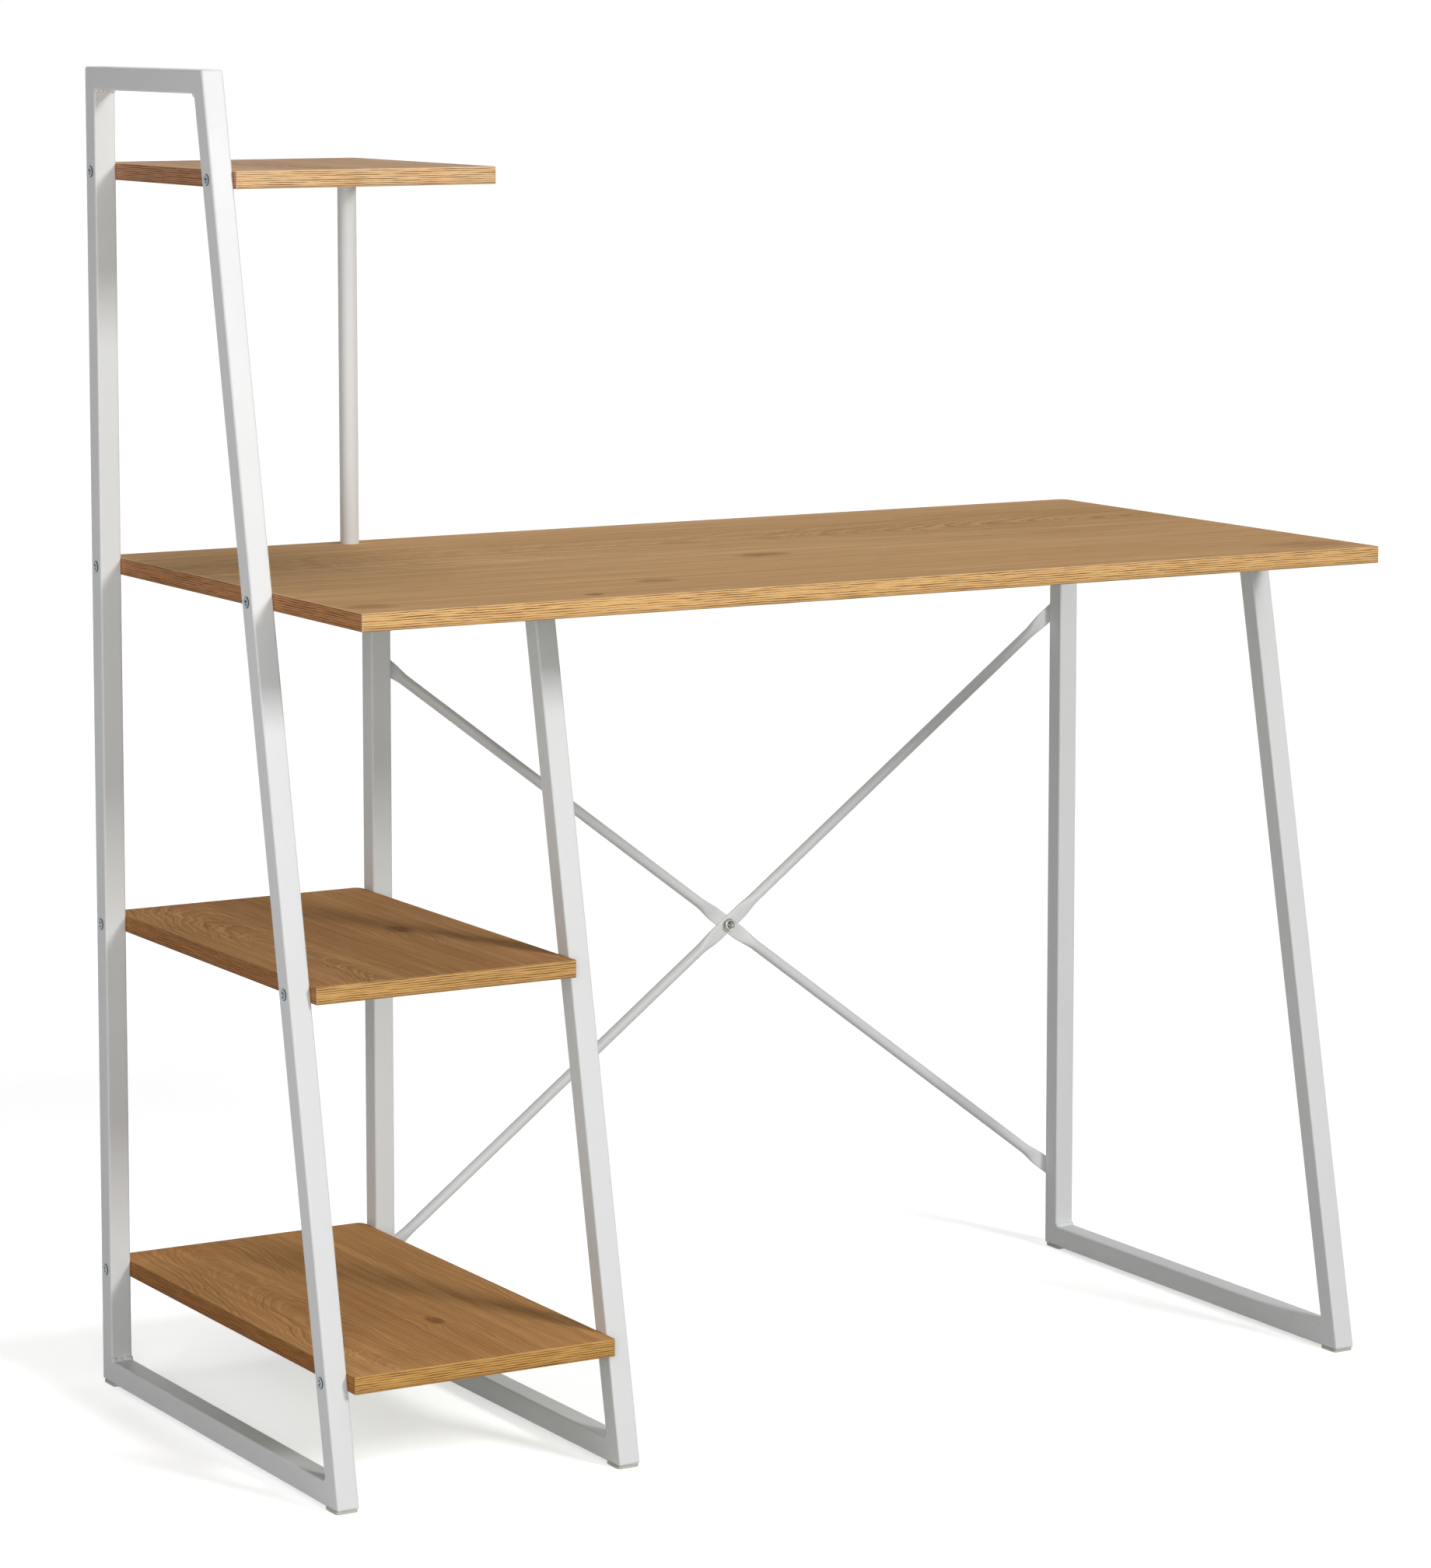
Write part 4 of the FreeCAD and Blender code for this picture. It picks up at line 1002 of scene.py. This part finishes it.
def copies(name, form, places, finish, replaced, turn=2 * math.pi, seed=3):
    """Puts a form on places of (point, aim), as one piece that stands for CAD nodes."""
    points = bpy.data.meshes.new(f"{name}_points")
    points.from_pydata([point for point, aim in places], [], [])
    aims = points.attributes.new("aim", "FLOAT_VECTOR", "POINT")
    for index, (point, aim) in enumerate(places):
        aims.data[index].vector = aim
    settings = {"Form": form, "Seed": seed, "Turn": turn, "Finish": finish}
    piece = run_tree(bpy.data.objects.new(f"{name}_points", points), COPIES, settings, name)
    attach(piece, BODY)
    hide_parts(*replaced)
    print(f"{name}: {len(places)} copies, {len(piece.data.polygons)} faces")


# %% [markdown]
# The frames' sizes are needed more than once: for the screws along the leaning legs, the welds in the corners
# and the pads under the feet. They are read here from the CAD boxes of the tubes.

# %% Where the frames stand
TUBE = 20 * MM
BASE_DEPTH = 480 * MM
LADDER_TOP_DEPTH = 244 * MM
DESK_TOP_DEPTH = 330 * MM


class Side:
    """One frame seen from its end: the leaning front leg and the upright rear leg."""

    def __init__(self, name, rear, top_depth):
        self.name = name
        low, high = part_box(f"{name}_bottom_rail")
        self.left, self.right, self.bottom = low[0], high[0], low[2]
        self.middle = (self.left + self.right) / 2
        self.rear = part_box(f"{name}_{rear}")[1][1]
        self.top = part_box(f"{name}_top_rail")[1][2]
        # how far the front leg goes back for each metre of height, and its thickness along the level
        self.lean = (BASE_DEPTH - top_depth) / (self.top - self.bottom)
        self.leg_span = TUBE * math.sqrt(1 + self.lean ** 2)

    def leg_front(self, z):
        return self.rear - BASE_DEPTH + self.lean * (z - self.bottom)

    def leg_middle(self, z):
        return self.leg_front(z) + self.leg_span / 2

    def screw_rows(self, board):
        """The depth and height of the two screws that hold a board's end."""
        low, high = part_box(board)
        z = (low[2] + high[2]) / 2
        return [(self.rear - TUBE / 2, z), (self.leg_middle(z), z)]


LADDER = Side("ladder", "rear_upright", LADDER_TOP_DEPTH)
INNER = Side("inner", "rear_leg", DESK_TOP_DEPTH)
RIGHT = Side("right", "rear_leg", DESK_TOP_DEPTH)
for side in (LADDER, INNER, RIGHT):
    print(f"{side.name} leans {math.degrees(math.atan(side.lean)):.1f} degrees")

# %% Screws in place
LEFTWARD, RIGHTWARD = (-1, 0, 0), (1, 0, 0)
REARWARD, FORWARD = (0, 1, 0), (0, -1, 0)
UPWARD, DOWNWARD = (0, 0, 1), (0, 0, -1)
LOW_SHELVES = ("middle_shelf", "bottom_shelf")
BRACE_FLAT = 3 * MM
BRACE_LEVELS = (638.5 * MM, 74.5 * MM)
RAIL_SETBACK = 60 * MM
SHELF_SCREW_TURN = 0.5

places = [((LADDER.left, *row), LEFTWARD) for board in BOARD_PRINTS for row in LADDER.screw_rows(board)]
copies("ladder_screw_set", EDGE_SCREW, places, zinc, ["ladder_screws"], SHELF_SCREW_TURN, 5)
places = [((INNER.right, *row), RIGHTWARD) for board in LOW_SHELVES for row in INNER.screw_rows(board)]
copies("inner_screw_set", EDGE_SCREW, places, zinc, ["inner_frame_screws"], SHELF_SCREW_TURN, 8)
places = []
for side in (INNER, RIGHT):
    front = side.leg_middle(side.top - TUBE / 2) + RAIL_SETBACK
    rear = side.rear - TUBE / 2 - RAIL_SETBACK
    places += [((side.middle, y, INNER.top - TUBE), DOWNWARD) for y in (front, rear)]
copies("desktop_screw_set", FACE_SCREW, places, zinc, ["desktop_screws"], seed=2)
places = []
for side in (INNER, RIGHT):
    places += [((side.middle, side.rear + BRACE_FLAT, z), REARWARD) for z in BRACE_LEVELS]
copies("brace_screw_set", BRACE_SCREW, places, zinc, ["brace_screws"], seed=4)
low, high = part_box("shelf_post")
post_seat = ((low[0] + high[0]) / 2, (low[1] + high[1]) / 2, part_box("desktop")[0][2])
copies("post_screw_piece", POST_SCREW, [(post_seat, DOWNWARD)], zinc, ["post_screw"])
crossing = Vector(((INNER.middle + RIGHT.middle) / 2, INNER.rear, sum(BRACE_LEVELS) / 2))
bolt_place = tuple(crossing + Vector((0, 1.5 * BRACE_FLAT, 0))), REARWARD
copies("brace_bolt_piece", BRACE_BOLT, [bolt_place], bright, ["brace_bolt"])

# %% [markdown]
# The nut is a hexagon whose corners a lathe has taken off, so it is the part that a hexagonal bar and a
# turned double cone have in common. A threaded hole goes through it.

# %% Brace nut
NUT_FLATS = 10 * MM
NUT_HEIGHT = 5 * MM
NUT_TURN = 0.5
CONE_STEPS, HOLE_STEPS = 72, 36
CUT_OVERRUN = 0.1 * MM
HOLE_OVERRUN = 1 * MM
HOLE_RADIUS = SCREW_RADIUS + 0.1 * MM
HOLE_MOUTH = SCREW_RADIUS + 0.6 * MM
HOLE_LEAD = 0.5 * MM
# painted shade: dark in the hole, half dark on the flats below the outer face, and none on the outer face
HOLE_SHADE_RADIUS = SCREW_RADIUS + 0.5 * MM
FLAT_SHADE = 0.55
UNSHADED_FACE = 0.8 * NUT_HEIGHT
CONE_FOOT, CONE_RISE = 0.95, 0.6
NUT_CREASE = 25


def nut_shade(radius, z):
    """Painted shade in the hole and down the flats, none on the outer face."""
    if radius < HOLE_SHADE_RADIUS:
        return 1.0
    return FLAT_SHADE if z < UNSHADED_FACE else 0.0


def both_ends(profile):
    """A lower half profile, and the same again for the nut's upper half."""
    return profile + [(radius, NUT_HEIGHT - z) for radius, z in reversed(profile)]


def nut_form():
    half_corner = NUT_FLATS / math.sqrt(3)
    angles = [math.radians(60 * step) for step in range(6)]
    corners = [(half_corner * math.cos(angle), half_corner * math.sin(angle)) for angle in angles]
    bar = raw_object(shell([[(*corner, z) for corner in corners] for z in (0, NUT_HEIGHT)]), "nut_form")
    foot = NUT_FLATS / 2 * CONE_FOOT
    rim = (half_corner + CUT_OVERRUN, (half_corner - foot) * CONE_RISE)
    cone = both_ends([(0, -CUT_OVERRUN), (foot, -CUT_OVERRUN), rim])
    hole = both_ends([(0, -HOLE_OVERRUN), (HOLE_MOUTH, -HOLE_OVERRUN), (HOLE_RADIUS, HOLE_LEAD)])
    blank_nut = cut(bar, raw_object(lathe(cone, CONE_STEPS), "nut_cone"), "INTERSECT")
    bored = cut(blank_nut, raw_object(lathe(hole, HOLE_STEPS), "nut_hole"))
    return smooth(paint_shade_and_dirt(bored, nut_shade), NUT_CREASE)


nut_place = tuple(crossing - Vector((0, BRACE_FLAT / 2, 0))), FORWARD
copies("brace_nut_piece", nut_form(), [nut_place], bright, ["brace_nut"], NUT_TURN)

# %% [markdown]
# ## Welds and mitre seams
# Where two tubes meet in a mitre, a short bead of weld fills the inner corner, and the outer seam is ground
# almost flat before painting. The bead is a row of overlapping drops along the corner: points along a line,
# each with its own seeded size and place, turned into a volume and skinned. The seam is a low ridge swept
# along the mitre line on both sides of a frame.

# %% Weld and seam trees
DROP_SIZES = (0.85, 1.15)
SEAM_STEPS = 12


def weld_tree():
    inputs = dict.fromkeys(("Drop Radius", "Spacing", "Jitter", "Voxel"), "Float")
    recipe, given = new_tree("weld beads", {**inputs, "Seed": "Int", "Finish": "Material"})
    line = recipe.make("GeometryNodeMeshToCurve", {"Mesh": given["Geometry"]})
    feeds = {"Curve": line, "Length": given["Spacing"]}
    spaced = recipe.make("GeometryNodeResampleCurve", feeds, mode="LENGTH")
    points = recipe.make("GeometryNodeCurveToPoints", {"Curve": spaced}, mode="EVALUATED")
    low, high = (recipe.combine(reach, reach, reach) for reach in (given["Jitter"] * -1.0, given["Jitter"]))
    feeds = {"Min": low, "Max": high, "Seed": given["Seed"]}
    shaken = recipe.make("FunctionNodeRandomValue", feeds, data_type="FLOAT_VECTOR")
    moved = recipe.make("GeometryNodeSetPosition", {"Geometry": points, "Offset": shaken})
    feeds = {"Min": DROP_SIZES[0], "Max": DROP_SIZES[1], "Seed": given["Seed"]}
    radius = recipe.make("FunctionNodeRandomValue", feeds, data_type="FLOAT") * given["Drop Radius"]
    feeds = {"Points": moved, "Radius": radius, "Voxel Size": given["Voxel"]}
    cloud = recipe.make("GeometryNodePointsToVolume", feeds, resolution_mode="VOXEL_SIZE")
    feeds = {"Volume": cloud, "Voxel Size": given["Voxel"]}
    skin = recipe.make("GeometryNodeVolumeToMesh", feeds, resolution_mode="VOXEL_SIZE")
    return close_tree(recipe, recipe.make("GeometryNodeSetShadeSmooth", {"Geometry": skin}), given["Finish"])


def seam_tree():
    recipe, given = new_tree("mitre seams", {"Radius": "Float", "Finish": "Material"})
    line = recipe.make("GeometryNodeMeshToCurve", {"Mesh": given["Geometry"]})
    spaced = recipe.make("GeometryNodeResampleCurve", {"Curve": line, "Count": SEAM_STEPS}, mode="COUNT")
    feeds = {"Resolution": SEAM_STEPS, "Radius": given["Radius"]}
    circle = recipe.make("GeometryNodeCurvePrimitiveCircle", feeds)
    feeds = {"Curve": spaced, "Profile Curve": circle, "Fill Caps": True}
    ridge = recipe.make("GeometryNodeCurveToMesh", feeds)
    return close_tree(recipe, recipe.make("GeometryNodeSetShadeSmooth", {"Geometry": ridge}), given["Finish"])


WELDS = weld_tree()
SEAMS = seam_tree()
print(f"made the {WELDS.name} and {SEAMS.name} trees")

# %% Welds in place
BEAD_HALF = TUBE / 2 - 2.2 * MM
BEAD_OUT = 0.6 * MM
BEAD = {"Drop Radius": 2.5 * MM, "Spacing": 2.1 * MM, "Jitter": 0.35 * MM, "Voxel": 0.35 * MM, "Finish": coat}
SEAM_RADIUS = 0.7 * MM
SEAM_PROUD = 0.16 * MM
SEAM_ASIDE = TUBE / 2 - SEAM_RADIUS + SEAM_PROUD
SEAM_FROM_OUTER = 3.2 * MM
SEAM_FROM_INNER = 1.5 * MM


def mitres(side):
    """Outer and inner points, as (y, z), of a frame's four mitred corners."""
    corners = []
    for level, inner_z in ((side.bottom, side.bottom + TUBE), (side.top, side.top - TUBE)):
        corners.append(((side.leg_front(level), level), (side.leg_front(inner_z) + side.leg_span, inner_z)))
        corners.append(((side.rear, level), (side.rear - TUBE, inner_z)))
    return corners


def line_object(name, lines):
    mesh = bpy.data.meshes.new(name)
    points = [point for line in lines for point in line]
    mesh.from_pydata(points, [(index, index + 1) for index in range(0, len(points), 2)], [])
    return bpy.data.objects.new(name, mesh)


def weld_piece(side, seed):
    beads, seams = [], []
    for outer, inner in mitres(side):
        outer, inner = Vector(outer), Vector(inner)
        inward = (inner - outer).normalized()
        heart = inner + inward * BEAD_OUT
        beads.append([(side.middle + x, *heart) for x in (-BEAD_HALF, BEAD_HALF)])
        start, stop = outer + inward * SEAM_FROM_OUTER, inner - inward * SEAM_FROM_INNER
        seams += [[(x, *start), (x, *stop)] for x in (side.middle - SEAM_ASIDE, side.middle + SEAM_ASIDE)]
    lines = line_object(f"{side.name}_bead_lines", beads)
    bead = run_tree(lines, WELDS, {**BEAD, "Seed": seed}, f"{side.name}_weld_beads")
    lines = line_object(f"{side.name}_seam_lines", seams)
    seam = run_tree(lines, SEAMS, {"Radius": SEAM_RADIUS, "Finish": coat}, f"{side.name}_mitre_seams")
    for piece in (bead, seam):
        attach(piece, BODY)
    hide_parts(f"{side.name}_welds")
    print(f"{bead.name}: {len(bead.data.polygons)} faces, {seam.name}: {len(seam.data.polygons)} faces")


for seed, side in enumerate((LADDER, INNER, RIGHT), start=11):
    weld_piece(side, seed)

# %% [markdown]
# ## Crossed brace
# Each brace is one round tube. A press has squeezed it flat at both ends, where it is screwed to the rear
# legs, and in the middle, where the two tubes lie on each other. The mesh is a stack of sections along the
# tube: each section is a blend of a circle and a flat slot, which eases in and out as bent metal does.

# %% Brace tubes
BRACE_RADIUS = 5 * MM
FLAT_HALF_WIDTH = 7 * MM
END_MARGIN = 8 * MM
END_FLAT = 20 * MM
MIDDLE_FLAT_HALF = 15 * MM
TAPER = 24 * MM
TAPER_STEPS = 10
SECTION_STEPS = 40
RUN_STEP = 14 * MM
ROUND_END_SHARES = (0.0, 0.05, 0.15, 0.3, 0.5, 0.75, 1.0)
LEAST_END_SHARE = 0.02
FLAT_SQUARENESS = 0.62
SIDE_SQUARENESS = 0.45
BRACE_CREASE = 40


def ease(share):
    share = min(1.0, max(0.0, share))
    return share * share * (3 - 2 * share)


def section(along, length, aside):
    """Points round the tube; end, middle and flat are 1 where it is pressed flat and 0 where it is round."""
    from_end = min(along, length - along)
    end = 1 - ease((from_end - END_FLAT) / TAPER)
    middle = 1 - ease((abs(along - length / 2) - MIDDLE_FLAT_HALF) / TAPER)
    flat = max(end, middle)
    half_width = BRACE_RADIUS + (FLAT_HALF_WIDTH - BRACE_RADIUS) * flat
    half_thickness = BRACE_RADIUS + (BRACE_FLAT / 2 - BRACE_RADIUS) * flat
    past = max(0.0, FLAT_HALF_WIDTH - from_end - END_MARGIN)
    half_width *= math.sqrt(max(LEAST_END_SHARE, 1 - (past / FLAT_HALF_WIDTH) ** 2))
    power = 1 - FLAT_SQUARENESS * flat
    side_power = 1 - SIDE_SQUARENESS * (1 - power)
    points = []
    for step in range(SECTION_STEPS):
        angle = 2 * math.pi * step / SECTION_STEPS
        across, thick = math.cos(angle), math.sin(angle)
        width = math.copysign(abs(across) ** side_power, across) * half_width
        depth = math.copysign(abs(thick) ** power, thick) * half_thickness
        points.append((along, middle * aside + depth, width))
    return points


def stations(length):
    """Where the sections lie: close together at the rounded ends and the tapers, and evenly between."""
    marks = [-END_MARGIN + FLAT_HALF_WIDTH * share for share in ROUND_END_SHARES] + [END_MARGIN]
    marks += [END_FLAT + TAPER * step / TAPER_STEPS for step in range(TAPER_STEPS + 1)]
    marks += [length / 2 - MIDDLE_FLAT_HALF - TAPER * step / TAPER_STEPS for step in range(TAPER_STEPS + 1)]
    runs = [step * RUN_STEP for step in range(1, int(length / RUN_STEP))]
    marks += [length - mark for mark in marks] + runs + [length / 2]
    return sorted({round(mark, 6) for mark in marks})


def brace(name, start, stop, aside, replaced):
    """A brace between two holes; aside is how far its middle lies behind the tube's own line."""
    way = Vector(stop) - Vector(start)
    length = way.length
    mesh = shell([section(along, length, aside) for along in stations(length)])
    turn = Vector((1, 0, 0)).rotation_difference(way).to_matrix().to_4x4()
    mesh.transform(Matrix.Translation(start) @ turn)
    piece = smooth(shown(mesh, name, [coat]), BRACE_CREASE)
    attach(piece, BODY)
    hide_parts(replaced)
    print(f"{name}: {length / MM:.1f} mm between holes, {len(piece.data.polygons)} faces")


tube_line = INNER.rear + BRACE_FLAT / 2
upper, lower = BRACE_LEVELS
for name, left, right, aside in (("falling_brace", upper, lower, 1), ("rising_brace", lower, upper, -1)):
    ends = (INNER.middle, tube_line, left), (RIGHT.middle, tube_line, right)
    brace(f"{name}_tube", *ends, aside * BRACE_FLAT / 2, name)

# %% [markdown]
# ## Foot pads
# A thin plastic plate sits under each foot. All six are alike, so one plate with rounded corners and eased
# edges is copied onto six points with the same tree as the screws.

# %% Pads
PAD_LENGTH = 22 * MM
PAD_HEIGHT = 2.5 * MM
PAD_CORNERS = (2.5 * MM, 2.5 * MM)
PAD_CORNER_STEPS = 6
PAD_EASE = 0.5 * MM
PAD_EASE_STEPS = 2
PAD_CREASE = 35


def pad_form():
    """A plate with its middle on the floor at the origin."""
    right, rear = TUBE / 2, PAD_LENGTH / 2
    levels = eased(PAD_EASE, PAD_EASE_STEPS, 0, PAD_HEIGHT)
    loops = outlines((-right, -rear), (right, rear), PAD_CORNERS, PAD_CORNER_STEPS, levels)
    return smooth(raw_object(shell(loops), "pad_form"), PAD_CREASE)


pad_names = [f"{side}_{end}_foot_pad" for side in ("ladder", "inner", "right") for end in ("front", "rear")]
places = []
for name in pad_names:
    low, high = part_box(name)
    places.append((((low[0] + high[0]) / 2, (low[1] + high[1]) / 2, low[2]), UPWARD))
copies("foot_pads", pad_form(), places, pad_plastic, pad_names, turn=0.0)

# %% [markdown]
# ## Finishes on the CAD tubes
# The tubes, the post and the hidden inserts keep their CAD shapes and only get a finish.

# %% Dress the kept nodes
FINISHES = {"white_coat": coat, "zinc_steel": zinc}
slots = {row["node"]: row["material_slot"] for row in frame["record"]["subparts"]}
dressed = 0
for name, node in nodes.items():
    finish = FINISHES.get(slots[name])
    if finish is None or node.hide_render:
        continue
    node.data.materials.clear()
    node.data.materials.append(finish)
    dressed += 1
print(f"dressed {dressed} CAD nodes")

# %% [markdown]
# ## Close
# The dressed desk's box is measured.

# %% Sizes and finish
low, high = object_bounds()
